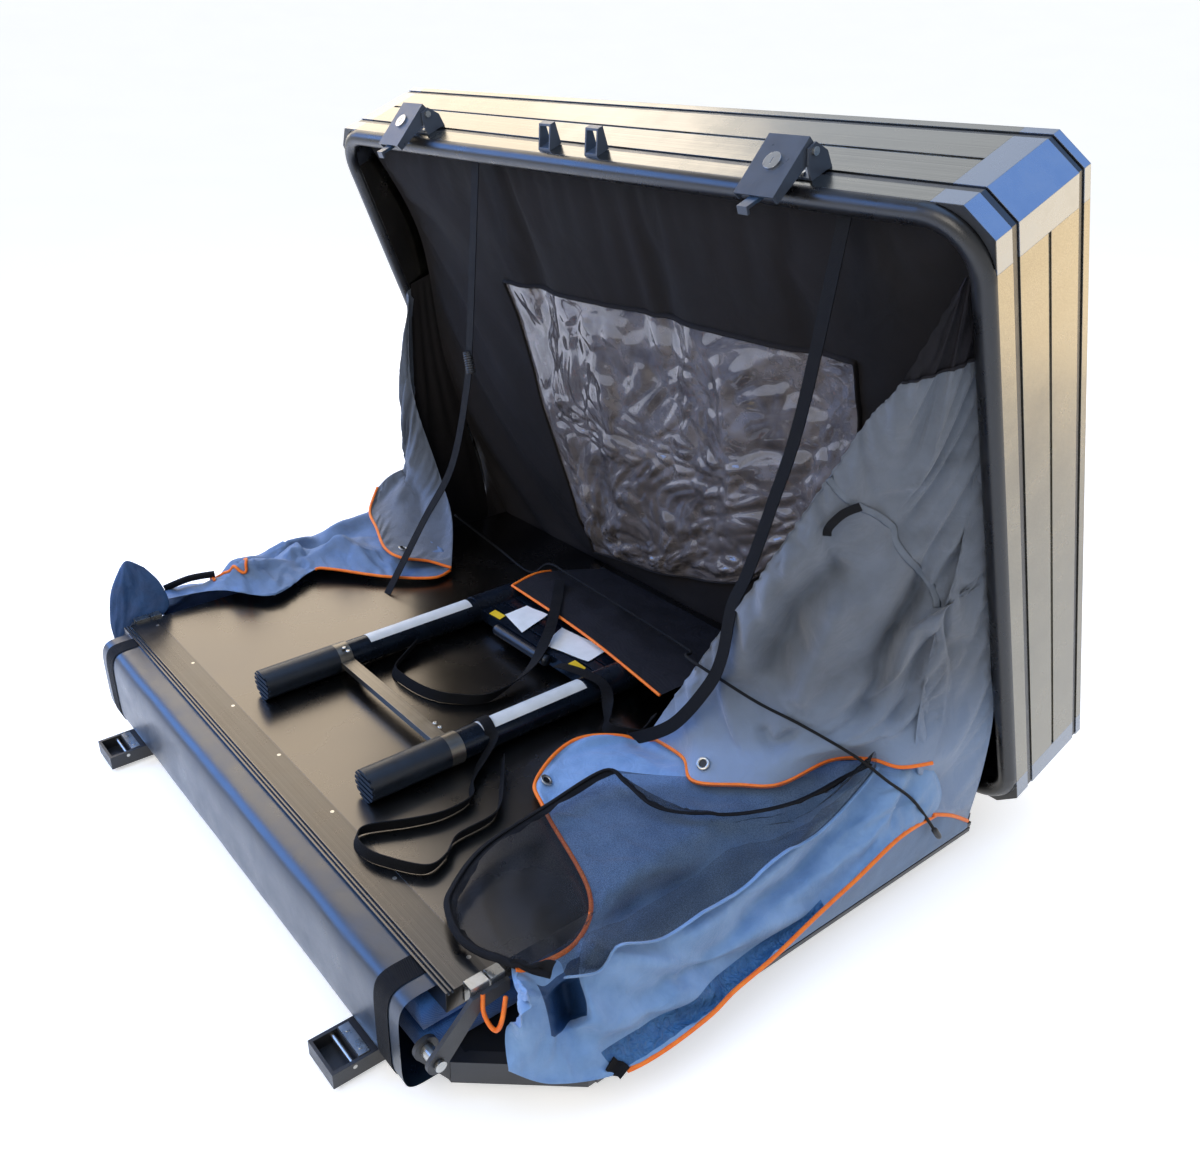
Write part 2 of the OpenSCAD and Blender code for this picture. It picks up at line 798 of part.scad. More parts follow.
module base_rail_front() {
  color("black")
    frame_box([-base_front_w / 2, front_y, mount_h], [base_front_w / 2, front_y + frame_t, base_top], 0);
}

module base_rail_rear() {
  color("black")
    frame_box([-base_w / 2, rear_y - frame_t, mount_h], [base_w / 2, rear_y, base_top], 0);
}

module base_rail_left() {
  color("black")
    frame_box([-base_w / 2, front_y + base_cut, mount_h],
      [-base_w / 2 + frame_t, rear_y - frame_t, base_top], 1);
}

module base_rail_right() {
  color("black")
    frame_box([base_w / 2 - frame_t, front_y + base_cut, mount_h],
      [base_w / 2, rear_y - frame_t, base_top], 1);
}

module base_corner_rails() {
  color("black")
    for (side = [0, 1])
      mirror([side, 0, 0])
        translate([0, 0, mount_h])
          linear_extrude(base_h)
            polygon([corner_out()[0], corner_out()[1], corner_in()[1], corner_in()[0]]);
}

module base_side_grooves() {
  z = mount_h + 12;
  l = base_d - base_cut - 20;
  color("silver")
    for (side = [0, 1])
      mirror([side, 0, 0])
        translate([base_w / 2, rear_y - 10, z])
          rotate([90, 0, 0])
            linear_extrude(l)
              difference() {
                square([side_rail_t, side_rail_h]);
                translate([side_rail_t / 2, side_rail_h / 2]) circle(r = side_rail_t * 0.34);
                translate([side_rail_t / 2, side_rail_h / 2 - 2]) square([side_rail_t, 4]);
              }
}

module mount_channels() {
  color("silver")
    for (side = [-1, 1])
      translate([0, side * mount_pitch / 2, 0])
        difference() {
          translate([-mount_l / 2, -mount_w / 2, 0]) cube([mount_l, mount_w, mount_h]);
          translate([-mount_l / 2 - 1, mount_wall - mount_w / 2, mount_wall])
            cube([mount_l + 2, mount_w - 2 * mount_wall, mount_h - 2 * mount_wall]);
          for (k = [-1, 1])
            translate([k * bolt_pitch / 2, 0, -1]) cylinder(r = bolt_hole_r, h = mount_wall + 2);
        }
}

module keepers() {
  color("black")
    for (side = [-1, 1])
      difference() {
        translate([side * latch_x - keeper_w / 2, keeper_tip, mount_h - keeper_h])
          cube([keeper_w, keeper_reach + keeper_root, keeper_h]);
        translate([side * latch_x - keeper_w / 2 + keeper_wall, keeper_tip + keeper_wall - 1,
          mount_h - keeper_h + keeper_wall - 1])
          cube([keeper_w - 2 * keeper_wall, pocket_l, keeper_h]);
        rod_x(side * latch_x, keeper_pin_y, keeper_pin_z, keeper_pin_r, keeper_w + 2);
      }
}

module keeper_pins() {
  color("silver")
    for (side = [-1, 1])
      rod_x(side * latch_x, keeper_pin_y, keeper_pin_z, keeper_pin_r, keeper_w);
}

// Steel plate with two rivets behind each pocket
module keeper_plates() {
  y = keeper_tip + keeper_wall + pocket_l + 1;
  plate_t = 1.5;
  rivet_h = 1;
  color("silver")
    for (side = [-1, 1]) {
      translate([side * latch_x - keeper_w / 2 + keeper_wall, y, mount_h])
        cube([keeper_w - 2 * keeper_wall, plate_d, plate_t]);
      for (k = [-1, 1])
        translate([side * latch_x + k * rivet_pitch / 2, y + plate_d / 2, mount_h + plate_t])
          cylinder(r = plate_d / 5, h = rivet_h);
    }
}

// Drawing of the base's fold hinge lug in Y and Z
module lug_shape() {
  difference() {
    union() {
      polygon([[front_y, mount_h + 4], [front_y, base_top],
        [fold_y + 0.73 * lug_r, fold_z + 0.64 * lug_r], [fold_y - 0.73 * lug_r, fold_z - 0.64 * lug_r]]);
      translate([fold_y, fold_z]) circle(r = lug_r);
    }
    translate([fold_y, fold_z]) circle(r = fold_bolt_r);
  }
}

module fold_lugs() {
  color("black")
    for (side = [-1, 1])
      along_x(side * (lug_x + lug_t / 2), lug_t) lug_shape();
}

module fold_spacers() {
  color("silver")
    for (side = [-1, 1])
      difference() {
        rod_x(side * (arm_x - spacer_l / 2), fold_y, fold_z, 2 * fold_bolt_r, spacer_l - 0.4);
        rod_x(side * (arm_x - spacer_l / 2), fold_y, fold_z, fold_bolt_r, spacer_l + 2);
      }
}

module fold_bolts() {
  nut_t = 6;
  inner = lug_x - nut_t;
  outer = arm_x + lug_t + side_clear;
  color("silver")
    for (side = [-1, 1]) {
      rod_x(side * (inner + outer + nut_t) / 2, fold_y, fold_z, fold_bolt_r, outer + nut_t - inner);
      rod_x(side * (inner + nut_t / 2), fold_y, fold_z, 10, nut_t - 0.2);
      rod_x(side * (outer + nut_t / 2), fold_y, fold_z, 10, nut_t);
    }
}

module lower_mattress() {
  color("royalblue")
    pad(base_top, lower_pad_t);
}

module upper_mattress() {
  color("royalblue")
    pad(panel_z, -upper_pad_t);
}

// Panel with a rebate for the cover strip
module floor_panel() {
  color("dimgray")
    difference() {
      translate([-panel_w / 2, panel_y + front_rail_w, panel_z])
        cube([panel_w, panel_d - front_rail_w, panel_t]);
      translate([-panel_w / 2 - 1, panel_y + front_rail_w - 1, panel_top - strip_t])
        cube([panel_w + 2, strip_w + 1, strip_t + 1]);
    }
}

// Extruded rail with two cord grooves along the fold edge
module floor_front_rail() {
  groove = 4;
  color("dimgray")
    along_x(0, panel_w)
      difference() {
        translate([panel_y, panel_z]) square([front_rail_w, panel_t]);
        for (k = [0.2, 0.6])
          translate([panel_y + k * front_rail_w, panel_top - 6]) square([groove, 7]);
      }
}

// Places its children at the screws of the cover strip
module at_strip_screws() {
  count = 7;
  for (k = [0 : count - 1])
    translate([(k / (count - 1) - 0.5) * (panel_w - 80), panel_y + front_rail_w + strip_w - 2.5 * screw_r,
      panel_top - strip_t])
      children();
}

module floor_cover_strip() {
  color("gray")
    difference() {
      translate([-panel_w / 2, panel_y + front_rail_w, panel_top - strip_t])
        cube([panel_w, strip_w, strip_t]);
      at_strip_screws()
        translate([0, 0, -1]) cylinder(r = screw_r + run_clear, h = strip_t + 2);
    }
}

module floor_screws() {
  color("silver")
    at_strip_screws()
      cylinder(r = screw_r, h = strip_t);
}

module fold_arms() {
  top = panel_top - 8;
  side = 0.7 * arm_r;
  color("black")
    for (end = [-1, 1])
      along_x(end * (arm_x + lug_t / 2), lug_t)
        difference() {
          union() {
            polygon([[fold_y - side, fold_z + side], [panel_y + 0.3 * arm_l, top], [panel_y + arm_l, top],
              [panel_y + arm_l, top - arm_h], [panel_y + 0.44 * arm_l, top - arm_h - 8],
              [fold_y + side, fold_z - side]]);
            translate([fold_y, fold_z]) circle(r = arm_r);
          }
          translate([fold_y, fold_z]) circle(r = fold_bolt_r + run_clear);
        }
}

// Zinc plated brackets between the panel's ends and the hinge arms
module fold_brackets() {
  gap = arm_x - panel_w / 2;
  wall = 3;
  color("silver")
    for (side = [0, 1])
      mirror([side, 0, 0])
        for (place = [[32, 34], [70, 26]])
          translate([panel_w / 2, panel_y + place[0], panel_z + 6])
            difference() {
              cube([gap, place[1], panel_t]);
              translate([wall, -1, -1]) cube([gap - 2 * wall, place[1] + 2, panel_t - wall + 1]);
            }
}

// Padded vinyl cover bulging round the fold, from the panel's edge down to the base
module hinge_cover() {
  n = 24;
  z0 = mount_h + 4;
  z1 = panel_top - 6;
  mid = (z0 + z1) / 2;
  function bulge(t, s) = [panel_y - soft_gap - (cover_out - s) * pow(abs(cos(t)), 0.4), mid
    + (z1 - mid - s) * sign(sin(t)) * pow(abs(sin(t)), 0.4)];
  outer = [for (i = [0 : n]) bulge(90 - 180 * i / n, 0)];
  inner = [for (i = [n : -1 : 0]) bulge(90 - 180 * i / n, cover_t)];
  color("black")
    along_x(0, pad_w)
      polygon(concat(outer, inner));
}

function collar_y(k) = stack_y + (k - 1) * collar_pitch;
function tube_r(k) = stile_r - (k - 1) * stile_step;

// Rod along Y at a stile, side -1 left or 1 right
module stile_rod(side, y, r, l) {
  translate([ladder_x + side * ladder_w / 2, y, stile_z])
    rotate([-90, 0, 0])
      cylinder(r = r, h = l);
}

// Two stile tubes with the collars and rung at their end
module ladder_section(k) {
  inset = foot_y + 14 + 4 * k;
  bore = tube_r(k) - stile_wall;
  for (side = [-1, 1])
    difference() {
      stile_rod(side, inset, tube_r(k), collar_y(k) + collar_l - inset);
      stile_rod(side, inset - 1, bore, collar_y(k) + collar_l - inset + 2);
    }
  difference() {
    union() {
      for (side = [-1, 1]) stile_rod(side, collar_y(k), collar_r, collar_l);
      translate([ladder_x - ladder_w / 2, collar_y(k) + 2, stile_z - rung_h / 2])
        cube([ladder_w, collar_l - 4, rung_h]);
    }
    for (side = [-1, 1]) stile_rod(side, collar_y(k) - 1, tube_r(k) + run_clear, collar_l + 2);
  }
}

module ladder_section_1() {
  color("black")
    ladder_section(1);
}

module ladder_section_2() {
  color("black")
    ladder_section(2);
}

module ladder_section_3() {
  color("black")
    ladder_section(3);
}

module ladder_section_4() {
  color("black")
    ladder_section(4);
}

module ladder_section_5() {
  color("black")
    ladder_section(5);
}

// Foot sleeves with ridged ends
module ladder_feet() {
  ridges = 5;
  color("black")
    for (side = [-1, 1])
      difference() {
        stile_rod(side, foot_y, collar_r, foot_l);
        stile_rod(side, foot_y + 14, tube_r(1) + run_clear, foot_l);
        for (k = [0 : ridges - 1])
          translate([ladder_x + side * ladder_w / 2 - collar_r - 1, foot_y - 1,
            stile_z + (k - ridges / 2 + 0.25) * 12])
            cube([2 * collar_r + 2, 6, 5]);
      }
}

module ladder_crossbar() {
  y = foot_y + foot_l;
  color("dimgray")
    difference() {
      union() {
        for (side = [-1, 1]) stile_rod(side, y, collar_r, bar_w);
        translate([ladder_x - ladder_w / 2, y, stile_z - bar_t / 2]) cube([ladder_w, bar_w, bar_t]);
      }
      for (side = [-1, 1]) stile_rod(side, y - 1, tube_r(1) + run_clear, bar_w + 2);
    }
}

module ladder_strap() {
  z = panel_top + seat_clear + web_w / 2;
  loop = [[305, -260, z + 30], [345, -300, z + 6], [410, -290, z], [440, -360, z], [335, -440, z],
    [305, -500, z], [350, -545, z], [440, -510, z]];
  color("black")
    webbing(loop, [0, 0, 1], 40);
}

// Rows of points of the rear wall, from the lid's latch side down to the base
wall_x = [-840, -420, 0, 420, 840];
rear_rows = [
  [for (x = wall_x) lid_pt(0.99 * x, rim_u - 3 * soft_gap, 24)],
  [for (x = wall_x) lid_pt(x, 1010, 70)],
  [for (x = wall_x) [x, 440, 690]],
  [for (x = wall_x) [x, 548, 380]],
  [for (x = wall_x) [x, 576, 225]],
  [for (x = wall_x) [x, 578, base_top + soft_gap]]];
// Steps across and down the rear wall
wall_n = 24;
wall_m = 14;
function rear_pt(i, j) =
  let (u = i / wall_n, v = j / wall_m)
  surface_pt(rear_rows, u, v) + [0, 14 * sin(360 * 4 * u + 50 * v) * sin(180 * v) * (1 - v), 0];

module rear_wall() {
  color("darkslategray")
    sheet([for (j = [0 : wall_m]) [for (i = [0 : wall_n]) rear_pt(i, j)]], fabric_t);
}

// Clear film in front of the rear wall, on the wall's own steps
module window_film() {
  film_t = 1;
  color("lightgray")
    sheet([for (j = [4 : 10]) [for (i = [6 : 20]) rear_pt(i, j) - [0, soft_gap + film_t, 0]]], film_t);
}

wall_right_rows = [
  [lid_pt(rim_x - 10, 1226, -4), lid_pt(rim_x - 5, 1224, 2), lid_pt(rim_x - soft_gap, 1222, 6)],
  [[rim_x - 44, 166, 1073], [rim_x - 20, 215, 1085], lid_pt(rim_x - soft_gap, 1095, 6)],
  [[rim_x - 77, 147, 1012], [rim_x - 37, 222, 960], lid_pt(rim_x - soft_gap, 960, 6)],
  [[rim_x - 117, 123, 912], [rim_x - 67, 225, 860], lid_pt(rim_x - soft_gap, 800, 6)],
  [[rim_x - 172, 104, 790], [rim_x - 97, 222, 740], lid_pt(rim_x - soft_gap, 640, 4)],
  [[rim_x - 242, 94, 650], [rim_x - 122, 205, 600], [rim_x - 10, 350, 640]],
  [[rim_x - 314, 86, 510], [rim_x - 147, 174, 470], [rim_x - 4, 385, 520]],
  [[rim_x - 372, 74, 392], [rim_x - 162, 126, 385], [rim_x - 0, 392, 420]],
  [[rim_x - 434, 74, 272], [rim_x - 321, 59, 290], [rim_x - 247, 11, 300], [rim_x - 178, 61, 310],
    [rim_x - 129, 112, 318], [rim_x - 115, 232, 326], [rim_x - 73, 294, 326], [rim_x - 26, 319, 324],
    [rim_x + 1, 380, 322]]];

module wall_right() {
  color("lightslategray")
    cloth(wall_right_rows, fabric_t, [-0.5, 0.8, 0], 2, 12, 18, 16);
}

wall_left_rows = [
  [lid_pt(16 - rim_x, 880, -20), lid_pt(8 - rim_x, 884, -8), lid_pt(3 * soft_gap - rim_x, 888, 6)],
  [[27 - rim_x, 330, 640], [10 - rim_x, 300, 640], lid_pt(3 * soft_gap - rim_x, 610, 4)],
  [[92 - rim_x, 365, 400], [7 - rim_x, 278, 400], lid_pt(2 - rim_x, 360, -10)],
  [[222 - rim_x, 320, 300], [162 - rim_x, 240, 350], [62 - rim_x, 240, 380], [-2 - rim_x, 290, 390]],
  [[407 - rim_x, 190, 260], [362 - rim_x, 150, 268], [322 - rim_x, 86, 276], [262 - rim_x, 72, 286],
    [162 - rim_x, 105, 304], [73 - rim_x, 136, 324], [6 - rim_x, 204, 360]]];

module wall_left() {
  color("lightslategray")
    cloth(wall_left_rows, -fabric_t, [0.4, 0.8, 0], 2, 8, 14, 14);
}

// Outer face of the side groove rails
groove_x = base_w / 2 + side_rail_t;
// Rows of points given by their distance out from the groove rail, side -1 left or 1 right
function at_side(side, rows) =
  [for (row = rows) [for (p = row) [side * (groove_x + p[0]), p[1], p[2]]]];
// Distance of the hems' outer faces from the groove rails
hem_out = fabric_t + soft_gap;
// Right lower wall: on the panel, over its edge and down to the hem
skirt_right_rows = at_side(1, [
  [[-115, -505, 252], [-96, -467, 254], [-91, -391, 258], [-168, -303, 255], [-379, -232, 252],
    [-462, -187, panel_top + hem_out], [-510, -43, 253], [-413, 76, 256], [-257, 150, 268],
    [-117, 270, 274]],
  [[-89, -528, 250], [-79, -470, 262], [-73, -390, 266], [-117, -290, 270], [-237, -190, 268],
    [-297, -110, 268], [-327, -10, 268], [-257, 100, 272], [-147, 210, 280], [-57, 340, 278]],
  [[-67, -548, 225], [-57, -480, 246], [-57, -380, 256], [-67, -280, 262], [-87, -180, 266],
    [-97, -80, 268], [-97, 30, 270], [-77, 160, 276], [-42, 290, 280], [-12, 400, 262]],
  [[-57, -562, 140], [-15, -480, 150], [-1, -370, 160], [-5, -270, 168], [-15, -160, 176],
    [-19, -60, 184], [-19, 60, 196], [-15, 170, 214], [-1, 310, 236], [9, 430, 220]],
  [[-51, -566, 66], [5, -470, 48], [25, -334, 48], [28, -220, 70], [28, -60, 88], [26, 56, 110],
    [24, 159, 146], [22, 262, 186], [19, 340, 200], [13, 420, 184]]]);

module skirt_right() {
  color("lightslategray")
    cloth(skirt_right_rows, fabric_t, [0.5, 0, 0.8], 4, 5, 24, 16);
}

// Left lower wall heaped along the panel's edge
skirt_left_rows = at_side(-1, [
  [[-394, 197, 249], [-408, 128, panel_top + hem_out], [-332, 30, 250], [-217, -72, 253], [-197, -120, 252],
    [-251, -253, 250], [-158, -353, 251], [-127, -477, 250]],
  [[-297, 230, 256], [-277, 130, 258], [-207, 30, 264], [-117, -60, 290], [-117, -150, 290],
    [-157, -262, 286], [-92, -350, 282], [-72, -480, 268]],
  [[-11, 190, 296], [-7, 100, 292], [-1, 10, 284], [3, -90, 280], [5, -190, 272], [5, -290, 262],
    [5, -390, 250], [-5, -480, 224]],
  [[hem_out + 1, 200, 90], [11, 100, 72], [15, 0, 70], [19, -100, 70], [19, -210, 72],
    [17, -310, 70], [15, -390, 70], [5, -460, 66]]]);

module skirt_left() {
  color("lightslategray")
    cloth(skirt_left_rows, fabric_t, [-0.3, 0, 1], 4, 6, 18, 12);
}

// Ladder flap: over the stowed ladder and down to the panel behind it
flap_z = stile_z + collar_r + soft_gap;
flap_rows = [
  [[-205, 205, flap_z], [90, 190, flap_z], [380, 150, flap_z]],
  [[-215, 290, flap_z + 4], [80, 275, flap_z + 4], [390, 240, flap_z + 4]],
  [[-230, 400, 286], [80, 400, 284], [400, 380, 278]],
  [[-240, 540, panel_top + soft_gap], [80, 540, panel_top + soft_gap], [410, 530, panel_top + soft_gap]]];

module ladder_flap() {
  color("darkslategray")
    cloth(flap_rows, fabric_t, [0, 0, 1], 2, 1, 12, 10);
}

// Webbing that pulls the lid down, one each side
module pull_straps() {
  right = [lid_pt(648, rim_u - 1, 8), [600, 222, 1015], [560, 212, 788], [500, 188, 590], [455, 92, 450],
    [418, 34, 300]];
  left = [lid_pt(-325, rim_u - 1, 8), [-400, 232, 892], [-430, 236, 740], [-475, 215, 540], [-520, 150, 390],
    [-470, 0, panel_top + soft_gap]];
  color("black") {
    webbing(right, [1, 0, 0], 24);
    webbing(left, [1, 0, 0], 24);
  }
}

module elastic_cord() {
  color("black")
    tube(cord_route, cord_d, 78, 8);
}

lid_rail_front();
lid_rail_rear();
lid_rail_left();
lid_rail_right();
lid_corners();
lid_roof();
lid_seal();
lid_rim_plates();
lid_hinge_leaves();
lid_hoops();
latch_brackets();
latch_bolts();
latch_lever_left();
latch_lever_right();
latch_hook_left();
latch_hook_right();
lock_left();
lock_right();
base_board();
base_rail_front();
base_rail_rear();
base_rail_left();
base_rail_right();
base_corner_rails();
base_side_grooves();
mount_channels();
keepers();
keeper_pins();
keeper_plates();
base_hinge_leaves();
lid_hinge_pins();
fold_lugs();
fold_bolts();
fold_spacers();
lower_mattress();
floor_panel();
floor_front_rail();
floor_cover_strip();
floor_screws();
fold_arms();
fold_brackets();
upper_mattress();
hinge_cover();
ladder_section_1();
ladder_section_2();
ladder_section_3();
ladder_section_4();
ladder_section_5();
ladder_feet();
ladder_crossbar();
ladder_strap();
rear_wall();
window_film();
wall_right();
wall_left();
skirt_right();
skirt_left();
ladder_flap();
pull_straps();
elastic_cord();
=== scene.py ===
import math

import bpy
import numpy
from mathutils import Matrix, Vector, noise
from mathutils.bvhtree import BVHTree


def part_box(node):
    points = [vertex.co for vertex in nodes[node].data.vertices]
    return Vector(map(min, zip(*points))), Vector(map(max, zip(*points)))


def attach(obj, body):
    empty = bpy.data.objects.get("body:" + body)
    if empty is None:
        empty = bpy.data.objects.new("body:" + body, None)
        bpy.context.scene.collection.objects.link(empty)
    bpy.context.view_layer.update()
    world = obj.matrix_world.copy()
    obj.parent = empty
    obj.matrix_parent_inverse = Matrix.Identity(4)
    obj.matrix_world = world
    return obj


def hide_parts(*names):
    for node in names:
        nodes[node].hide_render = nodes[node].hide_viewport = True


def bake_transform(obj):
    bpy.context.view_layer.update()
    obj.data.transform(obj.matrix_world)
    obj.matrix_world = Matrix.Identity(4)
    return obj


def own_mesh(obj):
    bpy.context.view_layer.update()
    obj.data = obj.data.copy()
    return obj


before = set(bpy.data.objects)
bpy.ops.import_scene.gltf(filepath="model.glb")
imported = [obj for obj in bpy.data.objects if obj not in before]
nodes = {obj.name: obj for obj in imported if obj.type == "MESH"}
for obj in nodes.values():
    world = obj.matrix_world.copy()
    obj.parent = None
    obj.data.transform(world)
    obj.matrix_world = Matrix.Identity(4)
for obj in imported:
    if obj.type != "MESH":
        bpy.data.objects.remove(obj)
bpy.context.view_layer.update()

cameraSpec = {"lens": 32.83, "sensor": 36, "place": (1.73452, -1.22305, 1.54907), "turn": (62.6937, 0.7267, 53.7066),
              "shift": (0.0795, 0.0007)}  # the photo is cropped off centre
camera = bpy.data.cameras.new("camera")
camera.lens, camera.sensor_width = cameraSpec["lens"], cameraSpec["sensor"]
camera.shift_x, camera.shift_y = cameraSpec["shift"]
cameraObject = bpy.data.objects.new("camera", camera)
cameraObject.location = cameraSpec["place"]
cameraObject.rotation_euler = [math.radians(a) for a in cameraSpec["turn"]]
bpy.context.collection.objects.link(cameraObject)
bpy.context.scene.camera = cameraObject
bpy.context.scene.view_settings.view_transform = "Standard"


def linear(code):
    parts = [int(code[k:k + 2], 16) / 255 for k in (1, 3, 5)]
    return [p / 12.92 if p <= 0.04045 else ((p + 0.055) / 1.055) ** 2.4 for p in parts] + [1.0]


def add(mat, kind, inputs=(), **settings):
    node = mat.node_tree.nodes.new(kind)
    for key, value in settings.items():
        setattr(node, key, value)
    for key, value in dict(inputs).items():
        if isinstance(value, bpy.types.NodeSocket):
            mat.node_tree.links.new(value, node.inputs[key])
        else:
            node.inputs[key].default_value = value
    return node


noiseCell = 1000  # mm in one cell of a noise texture at scale 1
waveBand = 314  # mm between two bands of a wave texture at scale 1


def surface(name, tones, rough, metal=0.0, patch=60, grain=2.0, depth=0.2, bevel=0.0, lines=None, weave=0.0,
            crease=0.0, creaseSize=40, wear=None, holes=None, paintedLight=None, sockets=()):
    # tones: two hex colours mixed in patches; sizes in mm
    # lines: (turn about x, turn about y, pitch) of a drawn metal; painted light by height: (tone, from z, to z)
    mat = bpy.data.materials.new(name)
    mat.use_nodes = True
    tree = mat.node_tree
    shader = tree.nodes["Principled BSDF"]
    shader.inputs["Metallic"].default_value = metal
    for key, value in dict(sockets).items():
        shader.inputs[key].default_value = value
    where = add(mat, "ShaderNodeTexCoord").outputs["Object"]
    cloud = add(mat, "ShaderNodeTexNoise", {"Vector": where, "Scale": noiseCell / patch, "Detail": 5.0,
                "Roughness": 0.6})
    spread = add(mat, "ShaderNodeMapRange", {"Value": cloud.outputs["Fac"], "From Min": 0.32, "From Max": 0.68})
    tone = add(mat, "ShaderNodeMix", {0: spread.outputs["Result"], 6: linear(tones[0]), 7: linear(tones[1])},
               data_type="RGBA")
    colour = tone.outputs[2]
    # painted light: the colour turns to the given tone between the two heights
    if paintedLight:
        level = add(mat, "ShaderNodeSeparateXYZ", {"Vector": where}).outputs["Z"]
        lower = add(mat, "ShaderNodeMapRange", {"Value": level, "From Min": paintedLight[1] / 1000,
                    "From Max": paintedLight[2] / 1000})
        colour = add(mat, "ShaderNodeMix", {0: lower.outputs["Result"], 6: colour, 7: linear(paintedLight[0])},
                     data_type="RGBA").outputs[2]
    fine = add(mat, "ShaderNodeTexNoise", {"Vector": where, "Scale": noiseCell / grain, "Detail": 3.0})
    height = fine.outputs["Fac"]
    if lines:
        drawn = add(mat, "ShaderNodeMapping", {"Vector": where, "Rotation": (lines[0], lines[1], 0.0),
                    "Scale": (4.0, lines[2] / 1000, lines[2] / 1000)}, vector_type="TEXTURE")
        streak = add(mat, "ShaderNodeTexNoise", {"Vector": drawn.outputs["Vector"], "Scale": 1.0, "Detail": 4.0})
        height = streak.outputs["Fac"]
        shade = add(mat, "ShaderNodeMapRange", {"Value": height, "From Min": 0.3, "From Max": 0.7, "To Min": 0.80,
                    "To Max": 1.12})
        colour = add(mat, "ShaderNodeVectorMath", {0: colour, 1: shade.outputs["Result"]},
                     operation="MULTIPLY").outputs["Vector"]
    if weave:
        threads = [add(mat, "ShaderNodeTexWave", {"Vector": where, "Scale": waveBand / weave, "Distortion": 0.6},
                       bands_direction=way).outputs["Fac"] for way in ("DIAGONAL", "Z")]
        height = add(mat, "ShaderNodeMath", {0: threads[0], 1: threads[1]}, operation="MAXIMUM").outputs["Value"]
    if holes:
        seen = add(mat, "ShaderNodeMapRange", {"Value": fine.outputs["Fac"], "From Min": 0.35, "From Max": 0.65,
                   "To Min": holes[0], "To Max": holes[1]})
        tree.links.new(seen.outputs["Result"], shader.inputs["Alpha"])
    if wear:
        edge = add(mat, "ShaderNodeNewGeometry").outputs["Pointiness"]
        worn = add(mat, "ShaderNodeMapRange", {"Value": edge, "From Min": 0.52, "From Max": 0.58, "To Max": 0.7})
        colour = add(mat, "ShaderNodeMix", {0: worn.outputs["Result"], 6: colour, 7: linear(wear)},
                     data_type="RGBA").outputs[2]
    tree.links.new(colour, shader.inputs["Base Color"])
    gloss = add(mat, "ShaderNodeMapRange", {"Value": cloud.outputs["Fac"], "From Min": 0.3, "From Max": 0.7,
                "To Min": max(rough - 0.07, 0.02), "To Max": min(rough + 0.07, 1.0)})
    tree.links.new(gloss.outputs["Result"], shader.inputs["Roughness"])
    bump = add(mat, "ShaderNodeBump", {"Height": height, "Strength": depth, "Distance": 0.0006})
    if crease:
        fold = add(mat, "ShaderNodeTexNoise", {"Vector": where, "Scale": noiseCell / creaseSize, "Detail": 3.0,
                   "Distortion": 1.2})
        soft = add(mat, "ShaderNodeBump", {"Height": fold.outputs["Fac"], "Strength": crease, "Distance": 0.012})
        tree.links.new(soft.outputs["Normal"], bump.inputs["Normal"])
    elif bevel:
        rounded = add(mat, "ShaderNodeBevel", {"Radius": bevel / 1000}, samples=4)
        tree.links.new(rounded.outputs["Normal"], bump.inputs["Normal"])
    tree.links.new(bump.outputs["Normal"], shader.inputs["Normal"])
    return mat


tilt = math.radians(68)  # the lid, open as in the photo
quarter = 1.5708  # turns the drawing lines along y

# extruded, brushed and anodised aluminium: warm grey, long fine streaks, soft mirror of the backdrop
railMetal = surface("anodised aluminium rail", ("#7f7b71", "#8a867b"), 0.24, metal=1.0, patch=90, depth=0.08,
                    bevel=1.0, lines=(0.0, 0.0, 1.6))
sideMetal = surface("anodised aluminium side rail", ("#7f7b71", "#8a867b"), 0.24, metal=1.0, patch=90, depth=0.08,
                    bevel=1.0, lines=(tilt, 0.0, 1.6))  # the same, streaked along the sides
# die cast aluminium: smooth blue grey with rounded edges
castMetal = surface("cast aluminium", ("#7f858f", "#8b919b"), 0.28, metal=1.0, patch=40, grain=1.5, depth=0.08,
                    bevel=1.5)
# extruded rubber: near black, a dull line of light along the bulb
sealRubber = surface("black rubber", ("#0b0b0c", "#141416"), 0.30, patch=50, grain=1.2, depth=0.2,
                     sockets={"Specular IOR Level": 0.6})
# injection moulded polypropylene: even black with a fine moulded grain
blackPlastic = surface("black plastic", ("#0c0c0d", "#151516"), 0.42, patch=30, grain=0.8, depth=0.3, bevel=0.8)
# powder coated steel: small orange peel, dull on the hinges, satin on the latches and rubbed grey at their edges
hingeMetal = surface("powder coated hinge steel", ("#2a2a2c", "#37373a"), 0.45, metal=0.6, patch=30, grain=0.9,
                     depth=0.4, bevel=0.6)
latchPaint = surface("powder coated latch steel", ("#34475c", "#40556c"), 0.33, metal=0.2, patch=30, grain=0.9,
                     depth=0.35, bevel=1.0, wear="#4c4c4e")
# zinc plated steel: bright and slightly cloudy
brightSteel = surface("zinc plated steel", ("#a9a7a0", "#c2c0ba"), 0.30, metal=1.0, patch=20, grain=1.2, depth=0.2,
                      bevel=0.5)
# chrome plate: close to a mirror on the lock faces
chrome = surface("chrome plate", ("#b6b6b8", "#c9c9cb"), 0.14, metal=1.0, patch=15, grain=1.0, depth=0.05,
                 bevel=0.5)
# powder coated aluminium: black satin with greyer edges
blackPaint = surface("black powder coat", ("#0e0e0f", "#19191a"), 0.40, metal=0.1, patch=40, grain=0.9, depth=0.4,
                     bevel=0.8, wear="#3a3a3c")
# pressed laminate on plywood: dull black with a fine tooth
blackBoard = surface("black laminate board", ("#0f0f10", "#18181a"), 0.5, patch=60, grain=1.5, depth=0.3)
